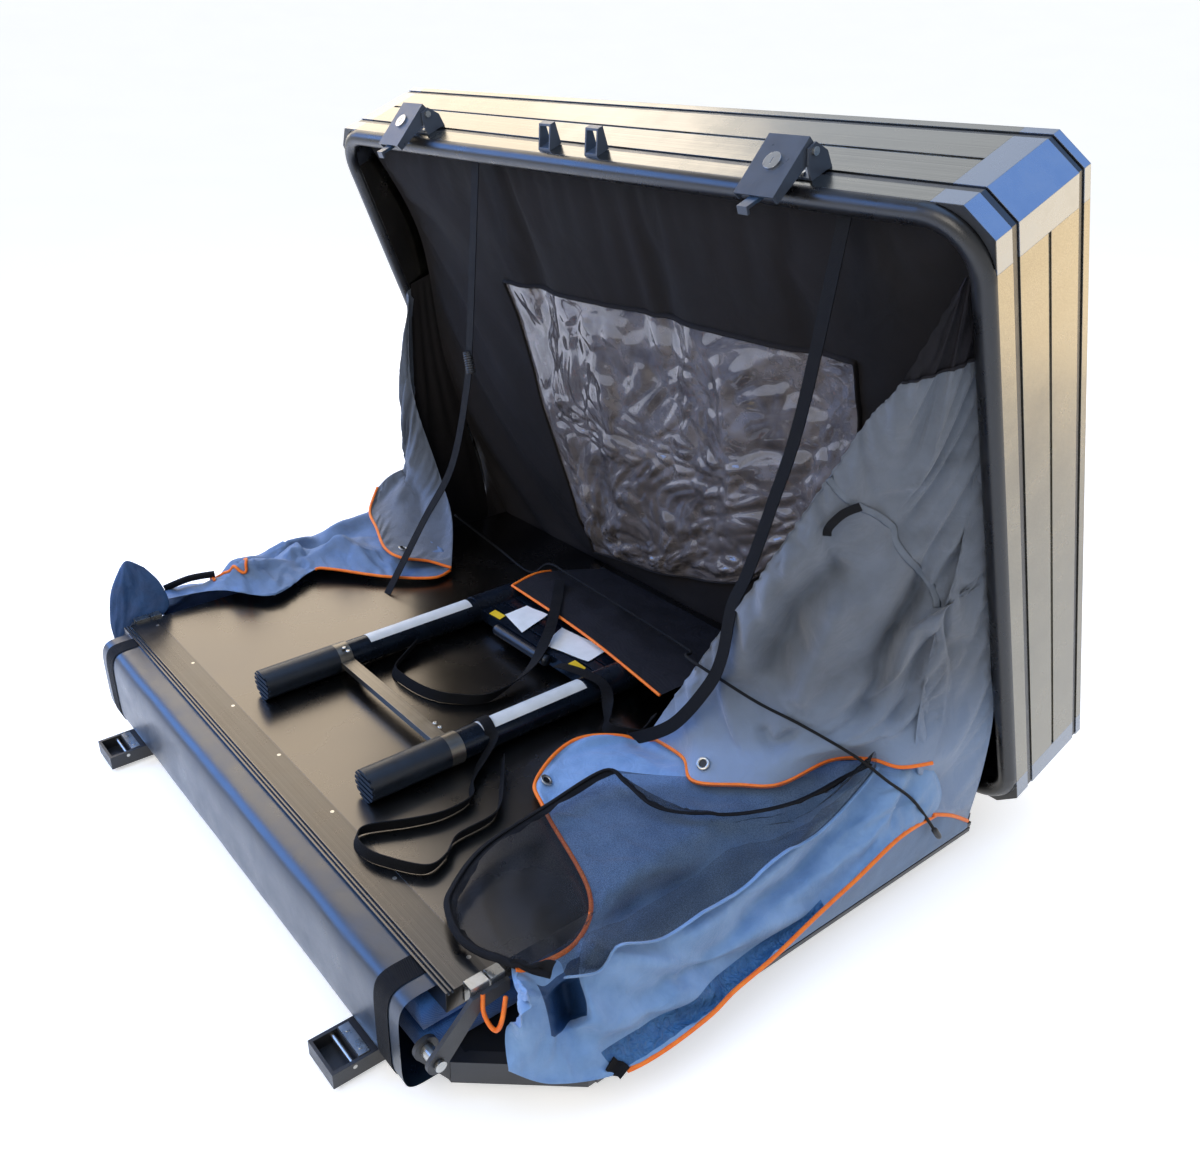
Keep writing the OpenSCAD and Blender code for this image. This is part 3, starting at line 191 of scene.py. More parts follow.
# mill finished aluminium: pale, drawing lines along the channel
rawMetal = surface("raw aluminium", ("#a5a5a4", "#bab9b6"), 0.34, metal=1.0, patch=50, depth=0.2, bevel=0.6,
                   lines=(0.0, quarter, 2.0))
# rolled and anodised sheet: dark and smooth, shows the pale backdrop as a wide sheen
panelMetal = surface("black anodised aluminium panel", ("#635f5a", "#6a6661"), 0.27, metal=1.0, patch=300,
                     grain=1.5, depth=0.0, bevel=0.8)
stripMetal = surface("black anodised strip", ("#565350", "#605d59"), 0.30, metal=1.0, patch=90, depth=0.08,
                     lines=(0.0, 0.0, 1.2))  # extruded, so finely streaked
# knitted polyester spacer mesh: bright blue cells of 2.4 mm with a soft bloom
meshFabric = surface("blue spacer mesh", ("#1f4f8c", "#2a62a4"), 0.8, patch=40, weave=2.4, depth=0.9,
                     sockets={"Sheen Weight": 0.3})
# coated and embossed fabric: blue black gloss, pebbled, slightly dented
vinyl = surface("black vinyl", ("#16222f", "#1e2c3e"), 0.33, patch=60, grain=1.6, depth=0.2, crease=0.05,
                creaseSize=90, sockets={"Specular IOR Level": 0.9})
# drawn and anodised tube: black with long lines of gloss
ladderBlack = surface("black anodised tube", ("#111821", "#18222f"), 0.27, metal=0.5, patch=60, depth=0.12,
                      bevel=0.5, lines=(0.0, quarter, 2.5))
# moulded nylon: black, a little rough
ladderPlastic = surface("ribbed black nylon", ("#0b1017", "#121a24"), 0.40, patch=25, grain=0.8, depth=0.4,
                        bevel=1.0)
# extruded and anodised bar: beige satin
barMetal = surface("beige anodised crossbar", ("#6f6a61", "#827c72"), 0.35, metal=0.9, patch=40, depth=0.2,
                   bevel=0.8, lines=(0.0, 0.0, 1.2))
# woven polyester webbing: matt black, ribs of 1.8 mm
webbing = surface("black polyester webbing", ("#08080a", "#101013"), 0.72, patch=25, weave=1.8, depth=0.9,
                  sockets={"Specular IOR Level": 0.2})
# plain woven polyester: matt and almost black, softly puckered
# here and in the canvases the threads lie under 0.5 mm apart and are drawn at 0.9 mm to show
lining = surface("charcoal lining cloth", ("#141110", "#1d1918"), 0.85, patch=120, weave=0.9, depth=0.35,
                 crease=0.30, creaseSize=110, sockets={"Specular IOR Level": 0.25})
# woven and proofed polycotton: matt, with a slight bloom and small creases
canvas = surface("grey polycotton canvas", ("#5a6069", "#6b727d"), 0.72, patch=70, weave=0.9, depth=0.5,
                 crease=0.22, creaseSize=38, sockets={"Sheen Weight": 0.35})
# the same canvas with painted sky light: bluer from 500 mm above the floor down to 300 mm
canvasPaintedSkyLight = surface("grey polycotton canvas, painted sky light low down", ("#5a6069", "#6b727d"), 0.72, patch=70, weave=0.9,
                    depth=0.5, crease=0.22, creaseSize=38, paintedLight=("#8497b2", 500, 300),
                    sockets={"Sheen Weight": 0.35})
blueCanvas = surface("slate blue canvas", ("#678cb6", "#82a4cb"), 0.62, patch=60, weave=0.9, depth=0.5, crease=0.25,
                     creaseSize=34, sockets={"Sheen Weight": 0.3})
darkCanvas = surface("dark canvas band", ("#141317", "#1d1b20"), 0.8, patch=60, weave=0.9, depth=0.5, crease=0.2,
                     sockets={"Specular IOR Level": 0.25})
ruchedCanvas = surface("gathered blue canvas", ("#2a5a8c", "#3d71a2"), 0.5, patch=20, weave=0.9, depth=0.6,
                       crease=1.0, creaseSize=16)  # puckered along its drawn thread
slateCanvas = surface("slate grey canvas", ("#627793", "#758ba9"), 0.66, patch=60, weave=0.9, depth=0.5,
                      crease=0.25, creaseSize=60)
# navy canvas: the front left corner's own cloth, and painted shade in the right lower wall's fold
navyCanvasAndPaintedShade = surface("navy canvas, also painted fold shade", ("#16355a", "#204670"), 0.55, patch=50, weave=0.9, depth=0.5, crease=0.3)
# knitted polyester net: see-through and dark, its holes drawn as a 1.6 mm grain because they are too fine to show
netting = surface("insect netting", ("#12161c", "#1c222b"), 0.8, patch=60, grain=1.6, depth=0.4, holes=(0.30, 0.62))
netEdge = surface("close woven net edge", ("#1c2632", "#28333f"), 0.8, patch=60, grain=1.6, depth=0.4,
                  holes=(0.55, 0.84))
# woven polyester tape: matt black, ribbed
binding = surface("black binding tape", ("#08080a", "#101014"), 0.7, patch=20, weave=1.4, depth=0.8,
                  sockets={"Specular IOR Level": 0.2})
# extruded vinyl piping: bright even orange
piping = surface("orange piping", ("#f06a0c", "#ff8420"), 0.55, patch=20, grain=0.7, depth=0.4)
# heat bonded tape: a flat grey line over the seam
seamTape = surface("grey seam tape", ("#5b626b", "#6b727c"), 0.6, patch=30, weave=1.2, depth=0.5)
# pressed clear vinyl: glassy, with sharp lights on its crinkles
film = surface("clear vinyl window", ("#625a57", "#958c88"), 0.11, patch=60, grain=7, depth=0.05,
               sockets={"Alpha": 0.68, "Coat Weight": 1.0, "Coat Roughness": 0.03})
# braided polyester over rubber: matt black with a fine braid
elastic = surface("black elastic cord", ("#09090a", "#131315"), 0.7, patch=8, weave=1.5, depth=0.9,
                  sockets={"Specular IOR Level": 0.25})
# uncoated paper is matt, vinyl labels have a slight gloss
paper = surface("white printed paper", ("#e2e0d8", "#efede6"), 0.6, patch=40, grain=1.5, depth=0.15)
labelWhite = surface("white vinyl label", ("#c9c8c2", "#d8d6d0"), 0.4, patch=40, grain=1.5, depth=0.1)
labelYellow = surface("yellow vinyl label", ("#e0b416", "#ecc42c"), 0.4, patch=30, grain=1.5, depth=0.1)
print("materials made")

byMaterial = {
    railMetal: ("lid_rail_front", "lid_rail_rear", "lid_roof"),
    sideMetal: ("lid_rail_left", "lid_rail_right"),
    castMetal: ("lid_corners",),
    sealRubber: ("lid_seal",),
    blackPlastic: ("lid_rim_plates",),
    hingeMetal: ("lid_hinge_leaves", "base_hinge_leaves"),
    latchPaint: ("lid_hoops", "latch_brackets", "latch_lever_left", "latch_lever_right", "latch_hook_left",
                 "latch_hook_right"),
    brightSteel: ("latch_bolts", "keeper_pins", "keeper_plates", "lid_hinge_pins", "fold_bolts", "floor_screws",
                  "fold_brackets", "fold_spacers"),
    chrome: ("lock_left", "lock_right"),
    blackPaint: ("base_rail_front", "base_rail_rear", "base_rail_left", "base_rail_right", "base_corner_rails",
                 "base_side_grooves", "keepers", "fold_lugs", "fold_arms"),
    blackBoard: ("base_board",),
    rawMetal: ("mount_channels",),
    panelMetal: ("floor_panel", "floor_front_rail"),
    stripMetal: ("floor_cover_strip",),
    ladderBlack: tuple("ladder_section_%d" % k for k in range(1, 6)),
    ladderPlastic: ("ladder_feet",),
    barMetal: ("ladder_crossbar",),
}
for mat, names in byMaterial.items():
    for name in names:
        nodes[name].data.materials.clear()
        nodes[name].data.materials.append(mat)

lidSpec = {"hingeY": 634, "hingeZ": 44, "back": 18, "rim": 64, "width": 1800, "depth": 1336}  # mm, as in part.scad


def mm(x, y, z):
    return Vector((x, y, z)) / 1000


def spots(marks):
    return [mm(*p) for p in marks]


def lidPoint(x, u, h):
    # u: from the hinge side towards the latches; h: above the rim
    y, z = -lidSpec["back"] - u, lidSpec["rim"] + h
    c, s = math.cos(tilt), math.sin(tilt)
    return mm(x, lidSpec["hingeY"] + y * c + z * s, lidSpec["hingeZ"] - y * s + z * c)


def curve(points, t):
    n = len(points) - 1
    k = max(min(int(t * n), n - 1), 0)
    s = t * n - k
    a, b, c, d = (points[i] for i in (max(k - 1, 0), k, k + 1, min(k + 2, n)))
    return 0.5 * (2 * b + (c - a) * s + (2 * a - 5 * b + 4 * c - d) * s * s + (3 * b - a - 3 * c + d) * s ** 3)


def along(points, steps):
    return [curve(points, k / steps) for k in range(steps + 1)]


def patchPoint(rows, u, v):
    return curve([curve(row, u) for row in rows], v)


def border(nu, nv):
    # (u, v) once round a sheet
    return ([(k / nu, 0) for k in range(nu)] + [(1, k / nv) for k in range(nv)]
            + [(1 - k / nu, 1) for k in range(nu)] + [(0, 1 - k / nv) for k in range(nv)])


def makeMesh(name, points, faces, mat, smooth=True):
    mesh = bpy.data.meshes.new(name)
    mesh.from_pydata([tuple(p) for p in points], [], faces)
    for face in mesh.polygons:
        face.use_smooth = smooth
    mesh.materials.append(mat)
    mesh.validate()
    mesh.update()
    piece = bpy.data.objects.new(name, mesh)
    bpy.context.collection.objects.link(piece)
    return piece


def grid(name, place, nu, nv, mat):
    points = [place(i / nu, j / nv) for j in range(nv + 1) for i in range(nu + 1)]
    faces = [(j * (nu + 1) + i, j * (nu + 1) + i + 1, (j + 1) * (nu + 1) + i + 1, (j + 1) * (nu + 1) + i)
             for j in range(nv) for i in range(nu)]
    piece = makeMesh(name, points, faces, mat)
    piece["nu"], piece["nv"] = nu, nv
    return piece


def at(piece, u, v):
    nu, nv = piece["nu"], piece["nv"]
    x, y = min(max(u, 0.0), 1.0) * nu, min(max(v, 0.0), 1.0) * nv
    i, j = min(int(x), nu - 1), min(int(y), nv - 1)
    s, t = x - i, y - j
    co = [piece.data.vertices[(j + b) * (nu + 1) + i + a].co for b in (0, 1) for a in (0, 1)]
    return (co[0] * (1 - s) + co[1] * s) * (1 - t) + (co[2] * (1 - s) + co[3] * s) * t


def edgeLine(piece, v, steps, start=0.0, end=1.0):
    # points along a sheet's edge
    return [at(piece, start + (end - start) * k / steps, v) for k in range(steps + 1)]


def normalAt(piece, u, v):
    a = at(piece, u + 0.01, v) - at(piece, u - 0.01, v)
    b = at(piece, u, v + 0.01) - at(piece, u, v - 0.01)
    return a.cross(b).normalized()


def surfaceLine(piece, marks, lift, steps=40):
    # points over a sheet through (u, v) marks
    way = along([Vector((*m, 0)) for m in marks], steps)
    return [at(piece, q.x, q.y) + normalAt(piece, q.x, q.y) * lift for q in way]


def tube(name, points, radius, mat, sides=8, flat=1.0):
    runs = [(points[min(k + 1, len(points) - 1)] - points[max(k - 1, 0)]).normalized() for k in range(len(points))]
    side = runs[0].orthogonal().normalized()
    rings, faces = [], []
    for p, run in zip(points, runs):
        side = (side - run * side.dot(run)).normalized()
        up = run.cross(side)
        rings += [p + radius * (side * math.cos(a) + up * flat * math.sin(a))
                  for a in (2 * math.pi * k / sides for k in range(sides))]
    for k in range(len(points) - 1):
        faces += [(k * sides + a, k * sides + (a + 1) % sides, (k + 1) * sides + (a + 1) % sides, (k + 1) * sides + a)
                  for a in range(sides)]
    faces += [tuple(reversed(range(sides))), tuple(range(len(rings) - sides, len(rings)))]
    return makeMesh(name, rings, faces, mat)


def swell(piece, way, sides, share):
    # widens or narrows each ring of a tube
    for k, vertex in enumerate(piece.data.vertices):
        middle = way[k // sides]
        vertex.co = middle + (vertex.co - middle) * share(k // sides)


def pipe(name, way, radius=0.004):
    return tube(name, way, radius, piping)


def ribbon(name, points, sides, width, thick, mat, steps):
    # flat webbing through points; sides are the directions across it
    rings, faces = [], []
    for k in range(steps + 1):
        t = k / steps
        run = (curve(points, min(t + 0.01, 1)) - curve(points, max(t - 0.01, 0))).normalized()
        across = curve(sides, t)
        across = (across - run * across.dot(run)).normalized()
        up = run.cross(across)
        p = curve(points, t)
        rings += [p + across * width * a + up * thick * b for a, b in
                  ((-0.5, -0.5), (0, -0.5), (0.5, -0.5), (0.5, 0.5), (0, 0.5), (-0.5, 0.5))]
    for k in range(steps):
        faces += [(k * 6 + a, k * 6 + (a + 1) % 6, (k + 1) * 6 + (a + 1) % 6, (k + 1) * 6 + a) for a in range(6)]
    faces += [(5, 4, 3, 2, 1, 0), tuple(range(steps * 6, steps * 6 + 6))]
    return makeMesh(name, rings, faces, mat, False)


def ring(name, centre, normal, radius, thick, mat, parts=28, sides=10):
    a = normal.orthogonal().normalized()
    b = normal.cross(a)
    points, faces = [], []
    for k in range(parts):
        out = a * math.cos(2 * math.pi * k / parts) + b * math.sin(2 * math.pi * k / parts)
        for s in range(sides):
            w = 2 * math.pi * s / sides
            points.append(centre + out * (radius + thick * math.cos(w)) + normal * thick * 0.6 * math.sin(w))
    for k in range(parts):
        for s in range(sides):
            faces.append((k * sides + s, k * sides + (s + 1) % sides, ((k + 1) % parts) * sides + (s + 1) % sides,
                          ((k + 1) % parts) * sides + s))
    return makeMesh(name, points, faces, mat)


def blurred(field, passes):
    for _ in range(passes):
        wide = numpy.pad(field, ((1, 1), (1, 1), (0, 0)), "edge")
        field = (wide[:-2, 1:-1] + wide[2:, 1:-1] + wide[1:-1, :-2] + wide[1:-1, 2:] + 2 * field) / 6
    return field


def pointField(piece, mesh):
    flat = numpy.empty(len(mesh.vertices) * 3, dtype=numpy.float32)
    mesh.vertices.foreach_get("co", flat)
    return flat.reshape(piece["nv"] + 1, piece["nu"] + 1, 3)


def setPoints(piece, field):
    piece.data.vertices.foreach_set("co", field.astype(numpy.float32).ravel())
    piece.data.update()


clothRun = {"quality": 6, "mass": 0.25, "stiff": 10, "shear": 3, "bend": 0.4, "air": 6, "gap": 0.004,
            "boxGap": 0.003, "sagBlur": 160}


def pinnedEdges(left=0.02, right=0.02, top=0.02, bottom=0.02, free=0.0):
    # shares of a sheet held along its edges; free is the hold between them
    return lambda u, v: 1.0 if u < left or u > 1 - right or v < top or v > 1 - bottom else free


def settle(piece, pinned, frames, grow, gravity, colliders=(), sag=0.2):
    # cloth run: its wrinkles stay in the mesh, with only a part of its sag
    group = piece.vertex_groups.new(name="pinned")
    nu, nv = piece["nu"], piece["nv"]
    for j in range(nv + 1):
        for i in range(nu + 1):
            weight = pinned(i / nu, j / nv)
            if weight > 0:
                group.add([j * (nu + 1) + i], weight, "REPLACE")
    for box in colliders:
        box.modifiers.new("hit", "COLLISION")
        box.collision.thickness_outer = clothRun["boxGap"]
    cloth = piece.modifiers.new("cloth", "CLOTH")
    cloth.settings.quality = clothRun["quality"]
    cloth.settings.mass = clothRun["mass"]
    cloth.settings.tension_stiffness = cloth.settings.compression_stiffness = clothRun["stiff"]
    cloth.settings.shear_stiffness = clothRun["shear"]
    cloth.settings.bending_stiffness = clothRun["bend"]
    cloth.settings.air_damping = clothRun["air"]
    cloth.settings.vertex_group_mass = "pinned"
    cloth.settings.shrink_min = -grow
    cloth.settings.effector_weights.gravity = gravity
    cloth.collision_settings.use_collision = bool(colliders)
    cloth.collision_settings.distance_min = clothRun["gap"]
    cloth.point_cache.frame_end = frames
    scene = bpy.context.scene
    for f in range(1, frames + 1):
        scene.frame_set(f)
    done = bpy.data.meshes.new_from_object(piece.evaluated_get(bpy.context.evaluated_depsgraph_get()))
    start = pointField(piece, piece.data)
    step = pointField(piece, done) - start
    piece.modifiers.remove(cloth)
    piece.vertex_groups.clear()
    scene.frame_set(1)
    setPoints(piece, start + step - (1 - sag) * blurred(step, clothRun["sagBlur"]))
    bpy.data.meshes.remove(done)
    for box in colliders:
        box.modifiers.clear()
    print("settled", piece.name)


def lay(piece, under, gap, reach=1.0):
    # lifts a sheet clear of what lies under it
    trees = [BVHTree.FromPolygons([v.co for v in mesh.vertices], [p.vertices for p in mesh.polygons])
             for mesh in (u.data for u in under)]
    field = pointField(piece, piece.data)
    lift = numpy.zeros(field.shape[:2] + (1,))
    for j in range(int(reach * piece["nv"]) + 1):
        for i in range(piece["nu"] + 1):
            p = Vector(field[j, i])
            for tree in trees:
                hit = tree.ray_cast(p + Vector((0, 0, 0.3)), Vector((0, 0, -1)), 0.3 + gap)[0]
                if hit:
                    lift[j, i, 0] = max(lift[j, i, 0], hit.z + gap - p.z)
    field[..., 2:] += numpy.maximum(lift, blurred(lift, 6))
    setPoints(piece, field)


def clearOf(piece, path, toward, gap, reach):
    # pushes a sheet back where a cord or a hem lies over it
    field = pointField(piece, piece.data).astype(float)
    way = numpy.array([tuple(p) for p in path])
    n = numpy.array(toward.normalized())
    flat = field.reshape(-1, 3)
    for k, p in enumerate(flat):
        away = p - way
        depth = away @ n
        side = numpy.linalg.norm(away - numpy.outer(depth, n), axis=1)
        near = side.argmin()
        if side[near] < reach:
            ease = min(1.0, 1.4 * (1 - side[near] / reach))
            flat[k] = p - n * max(0.0, depth[near] + gap) * ease
    setPoints(piece, field)


foldSteps = 96


def sculpt(piece, folds, toward):
    # raises ridges and sinks valleys along (u, v) lines; depth and half width in mm
    field = pointField(piece, piece.data).astype(float)
    n = numpy.array(toward.normalized())
    move = numpy.zeros(field.shape[:2])
    for depth, width, marks in folds:
        way = along([Vector((*m, 0)) for m in marks], foldSteps)
        line = numpy.array([tuple(at(piece, q.x, q.y)) for q in way])
        away = field[:, :, None, :] - line
        away = away - (away @ n)[..., None] * n
        gap = (away ** 2).sum(-1)
        share = gap.argmin(-1) / foldSteps
        fade = numpy.clip(5 * numpy.minimum(share + 0.04, 1.04 - share), 0, 1)  # runs out at both ends
        move += depth / 1000 * fade * numpy.exp(-gap.min(-1) / (width / 1000) ** 2)
    setPoints(piece, field + move[..., None] * n)


def hangStraight(piece, place, first):
    # eases a sheet back to its drawn shape towards its hem
    across, down = piece["nu"] + 1, piece["nv"]
    for k, vertex in enumerate(piece.data.vertices):
        v = k // across / down
        if v > first:
            drawn = place(k % across / (across - 1), v)
            vertex.co = vertex.co.lerp(drawn, min(1.0, 2 * (v - first) / (1 - first)))
    piece.data.update()


def foldPlace(rows, off, folds, depth, slant, seed):
    # a patch through rows, waved along off
    def place(u, v):
        p = patchPoint(rows, u, v)
        wave = depth * math.sin(2 * math.pi * (folds * u + slant * v)) * math.sin(math.pi * v) ** 0.7
        fine = noise.noise(Vector((u * 9, v * 5, seed))) * 0.010 * math.sin(math.pi * u) * math.sin(math.pi * v)
        return p + off * (wave * math.sin(math.pi * u) ** 0.5 + fine)
    return place


def wavedSheet(name, spec, mat):
    return grid(name, foldPlace(spec["rows"], **spec["wave"]), *spec["cells"], mat)


def addMaterial(piece, mat, test):
    piece.data.materials.append(mat)
    nu, nv = piece["nu"], piece["nv"]
    for k, face in enumerate(piece.data.polygons):
        if test((k % nu + 0.5) / nu, (k // nu + 0.5) / nv):
            face.material_index = len(piece.data.materials) - 1


def proxy(name, low, high):
    points = [mm(x, y, z) for x in (low[0], high[0]) for y in (low[1], high[1]) for z in (low[2], high[2])]
    faces = [(0, 1, 3, 2), (4, 6, 7, 5), (0, 4, 5, 1), (2, 3, 7, 6), (0, 2, 6, 4), (1, 5, 7, 3)]
    return makeMesh(name, points, faces, blackPlastic, False)


bends = {"bend": ((0, 0.3, 0.15), (0, 0.3, 0.92)), "rear": ((0, 0.5, 0.09), (0, 0.5, 0.50)),
         "side": ((0, 0.031, 0.15), (0, 0.570, 0.458)), "outer": ((0, 0.5, 0.20), (0, 0.5, 0.50))}  # base to lid
tucks = {"tuckRight": 1, "tuckLeft": -1}  # carried by the base, each with its own mesh


def carry(piece, body):
    if body in bends:
        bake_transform(piece)
    elif body in tucks:
        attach(piece, "base")
        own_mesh(piece)
    elif body == "low":
        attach(piece, "base")
        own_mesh(piece)
    else:
        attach(piece, body)


def cutSize(piece):
    field = pointField(piece, piece.data).astype(float)
    widths = numpy.linalg.norm(numpy.diff(field, axis=1), axis=-1).sum(1)
    lengths = numpy.linalg.norm(numpy.diff(field, axis=0), axis=-1).sum(0)
    return float(widths.max()), float(lengths.max()), sum(p.area for p in piece.data.polygons)


def declareSheet(piece):
    w, h, area = cutSize(piece)
    print("sheet %s %.3f x %.3f area %.3f" % (piece.name, w, h, area))


eyeletSpec = {"radius": 0.0100, "wire": 0.0030, "lift": 0.0045, "hole": 0.0088, "holeLift": 0.0040}


def eyelet(name, piece, u, v, body, side):
    n = normalAt(piece, u, v) * side
    a = n.orthogonal()
    b = n.cross(a)
    centre = at(piece, u, v)

    def holePlace(turn, out):
        w = 2 * math.pi * turn
        return centre + n * eyeletSpec["holeLift"] + (a * math.cos(w) + b * math.sin(w)) * eyeletSpec["hole"] * out
    made = ring(name, centre + n * eyeletSpec["lift"], n, eyeletSpec["radius"], eyeletSpec["wire"], brightSteel)
    hole = grid(name + "Hole", holePlace, 20, 2, blackPlastic)
    carry(made, body)
    carry(hole, body)
    return [made, hole]


# elastic cord: from the left wall over the ladder flap and the right wall to its toggle on the hem
cordSpec = {
    "diameter": 0.006,
    "route": ((-520, 250, 382), (-465, 350, 275), (-330, 356, 254), (-245, 352, 312), (-150, 346, 318),
              (60, 338, 316), (270, 325, 316), (400, 210, 402), (518, 75, 497), (596, 81, 486), (668, 107, 461),
              (716, 156, 426), (763, 203, 389), (802, 244, 353), (838, 283, 310), (862, 342, 252), (886, 402, 163)),
    "toggleAt": (-0.012, -0.008, 0.0, 0.010, 0.016, 0.020), "toggleShare": (0.6, 1.0, 1.0, 1.0, 0.9, 0.5),
    "toggleRadius": 0.006}
cordRoute = spots(cordSpec["route"])
cordWay = along(cordRoute, 160)
cordLength = sum((a - b).length for a, b in zip(cordWay, cordWay[1:]))
cord = tube("elasticCord", cordWay, cordSpec["diameter"] / 2, elastic, 10)
endRun = (cordWay[-1] - cordWay[-4]).normalized()
toggleWay = [cordWay[-1] + endRun * d for d in cordSpec["toggleAt"]]
toggle = tube("cordToggle", toggleWay, cordSpec["toggleRadius"], blackPlastic, 12)
swell(toggle, toggleWay, 12, lambda k: cordSpec["toggleShare"][k])
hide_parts("elastic_cord")
[tuple(p) for p in cordWay]
carry(cord, "bend")
carry(toggle, "bend")
print("cord length %.3f" % cordLength)

# rear lining, hung from the lid's front rail to the base's rear rail
rearSpec = {"x": (-840, -420, 0, 420, 840), "onLid": ((0.99, 1297.7, 24), (1.0, 1010, 70)),
            "onBase": ((440, 690), (548, 380), (576, 225), (578, 87.3)), "cells": (110, 70), "wave": 0.014,
            "waves": 4, "pucker": 0.006, "settle": {"frames": 14, "grow": 0.015, "gravity": 0.3}}
rearRows = [[lidPoint(share * x, u, h) for x in rearSpec["x"]] for share, u, h in rearSpec["onLid"]] \
    + [[mm(x, y, z) for x in rearSpec["x"]] for y, z in rearSpec["onBase"]]


def rearPlace(u, v):
    p = patchPoint(rearRows, u, v)
    wave = math.sin(2 * math.pi * rearSpec["waves"] * u + 0.87 * v) * math.sin(math.pi * v) * (1 - v)
    fine = noise.noise(Vector((u * 26, v * 3.5, 1.7))) * rearSpec["pucker"] * math.sin(math.pi * v)
    return p + Vector((0, rearSpec["wave"] * wave + fine, 0))


rear = grid("rearLining", rearPlace, *rearSpec["cells"], lining)
settle(rear, pinnedEdges(free=0.06), **rearSpec["settle"])

# clear window: (u, v) outline on the lining, crinkled in facets
filmSpec = {"cells": (170, 140), "out": 0.015, "sag": 0.022, "broad": 0.9, "sharp": 0.55, "rows": (
    ((0.239, 0.226), (0.54, 0.215), (0.84, 0.212)), ((0.262, 0.38), (0.54, 0.37), (0.83, 0.33)),
    ((0.287, 0.52), (0.50, 0.50), (0.76, 0.46)), ((0.314, 0.74), (0.46, 0.68), (0.655, 0.57)))}
filmRows = [[Vector((*p, 0)) for p in row] for row in filmSpec["rows"]]


def facets(x, y, seed):
    near = noise.voronoi(Vector((x, y, seed)))[0]
    return near[1] - near[0]


def filmPlace(u, v):
    q = patchPoint(filmRows, u, v)
    edge = min(1.0, 8 * u, 8 * (1 - u), 8 * v, 8 * (1 - v))
    x = u + 0.08 * noise.noise(Vector((u * 5, v * 5, 1)))
    y = v + 0.08 * noise.noise(Vector((u * 5, v * 5, 7)))
    crinkle = filmSpec["broad"] * facets(x * 7 + 2 * y, y * 6, 4.2) \
        + filmSpec["sharp"] * facets(x * 19, y * 15 + 4 * x, 9.1)
    out = filmSpec["out"] + filmSpec["sag"] * v
    return at(rear, q.x, q.y) + Vector((0, -0.003 - edge * out * crinkle, 0))


window = grid("windowFilm", filmPlace, *filmSpec["cells"], film)
windowEdge = [at(window, u, v) + Vector((0, -0.001, 0)) for u, v in border(40, 40)]
windowTape = tube("windowTape", windowEdge + windowEdge[:1], 0.006, lining, 6, flat=0.3)
for piece, name in ((rear, "rear_wall"), (window, "window_film")):
    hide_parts(name)
declareSheet(rear)
declareSheet(window)
carry(rear, "rear")
carry(window, "rear")
carry(windowTape, "rear")

# strip of lining beside the left wall
leftLiningSpec = {"cells": (30, 60), "pucker": 0.008, "rows": (
    [lidPoint(-858, 900, 5), lidPoint(-846, 900, 75)], spots(((-853, 345, 640), (-838, 455, 690))),
    spots(((-820, 320, 400), (-838, 540, 400))), spots(((-790, 300, 250), (-838, 576, 250))),
    spots(((-800, 300, 130), (-838, 578, 110))))}


def leftLiningPlace(u, v):
    fine = leftLiningSpec["pucker"] * noise.noise(Vector((u * 9, v * 3, 5.5)))
    fine *= math.sin(math.pi * u) * math.sin(math.pi * v)
    return patchPoint(leftLiningSpec["rows"], u, v) + Vector((fine, -0.3 * fine, 0))


leftLining = grid("leftLining", leftLiningPlace, *leftLiningSpec["cells"], lining)
declareSheet(leftLining)
carry(leftLining, "rear")
print("rear wall made")

panelBox = proxy("panelProxy", (-713, -604, 150), (713, 560, 246))  # what the lower walls settle on

# right wall: folded gusset between the lid's rim and the floor
rightSpec = {
    "cells": (84, 104), "front": Vector((0.5, -0.85, 0.2)), "bandEnd": 0.125, "straightFrom": 0.88,
    "wave": {"off": Vector((-0.53, 0.85, 0)), "folds": 2.5, "depth": 0.018, "slant": 0.5, "seed": 2.1},
    "settle": {"frames": 26, "grow": 0.06, "gravity": 0.5, "sag": 0.0}, "rows": [
        [lidPoint(852, 1226, -4), lidPoint(857, 1224, 2), lidPoint(861.7, 1222, 6)],
        [mm(818, 166, 1073), mm(842, 215, 1085), lidPoint(861.7, 1095, 6)],
        [mm(785, 147, 1012), mm(825, 222, 960), lidPoint(861.7, 960, 6)],
        [mm(745, 123, 912), mm(795, 225, 860), lidPoint(861.7, 800, 6)],
        [mm(690, 104, 790), mm(765, 222, 740), lidPoint(861.7, 640, 4)],
        spots(((620, 94, 650), (740, 205, 600), (852, 350, 640))),
        spots(((548, 86, 510), (715, 176, 470), (858, 385, 520))),
        spots(((490, 74, 392), (700, 128, 385), (862, 392, 420))),
        spots(((428, 74, 272), (541, 59, 290), (615, 11, 300), (684, 61, 310), (733, 112, 318), (747, 232, 326),
               (789, 294, 326), (836, 319, 324), (863, 380, 322)))],
    "folds": (
        (-44, 24, ((0.36, 0.50), (0.30, 0.56), (0.28, 0.62), (0.32, 0.73))),
        (26, 28, ((0.10, 0.50), (0.14, 0.58), (0.18, 0.68), (0.22, 0.78))),
        (34, 26, ((0.44, 0.55), (0.46, 0.66), (0.49, 0.78))),
        (-52, 17, ((0.69, 0.50), (0.74, 0.60), (0.71, 0.73), (0.68, 0.82))),
        (22, 16, ((0.86, 0.60), (0.79, 0.70), (0.71, 0.80))),
        (-24, 14, ((0.90, 0.65), (0.84, 0.74), (0.80, 0.88))),
        (-22, 11, ((0.43, 0.84), (0.50, 0.88), (0.56, 0.84))),
        (-24, 32, ((0.48, 0.34), (0.68, 0.44))),
        (20, 26, ((0.80, 0.28), (0.77, 0.46)))),
    "seam": ((0.0, 0.38), (0.48, 0.41), (0.62, 0.46), (0.84, 0.58)),
    "tab": ((0.30, 0.39), (0.25, 0.42), (0.24, 0.45), (0.23, 0.47))}
rightEdges = pinnedEdges(left=0)
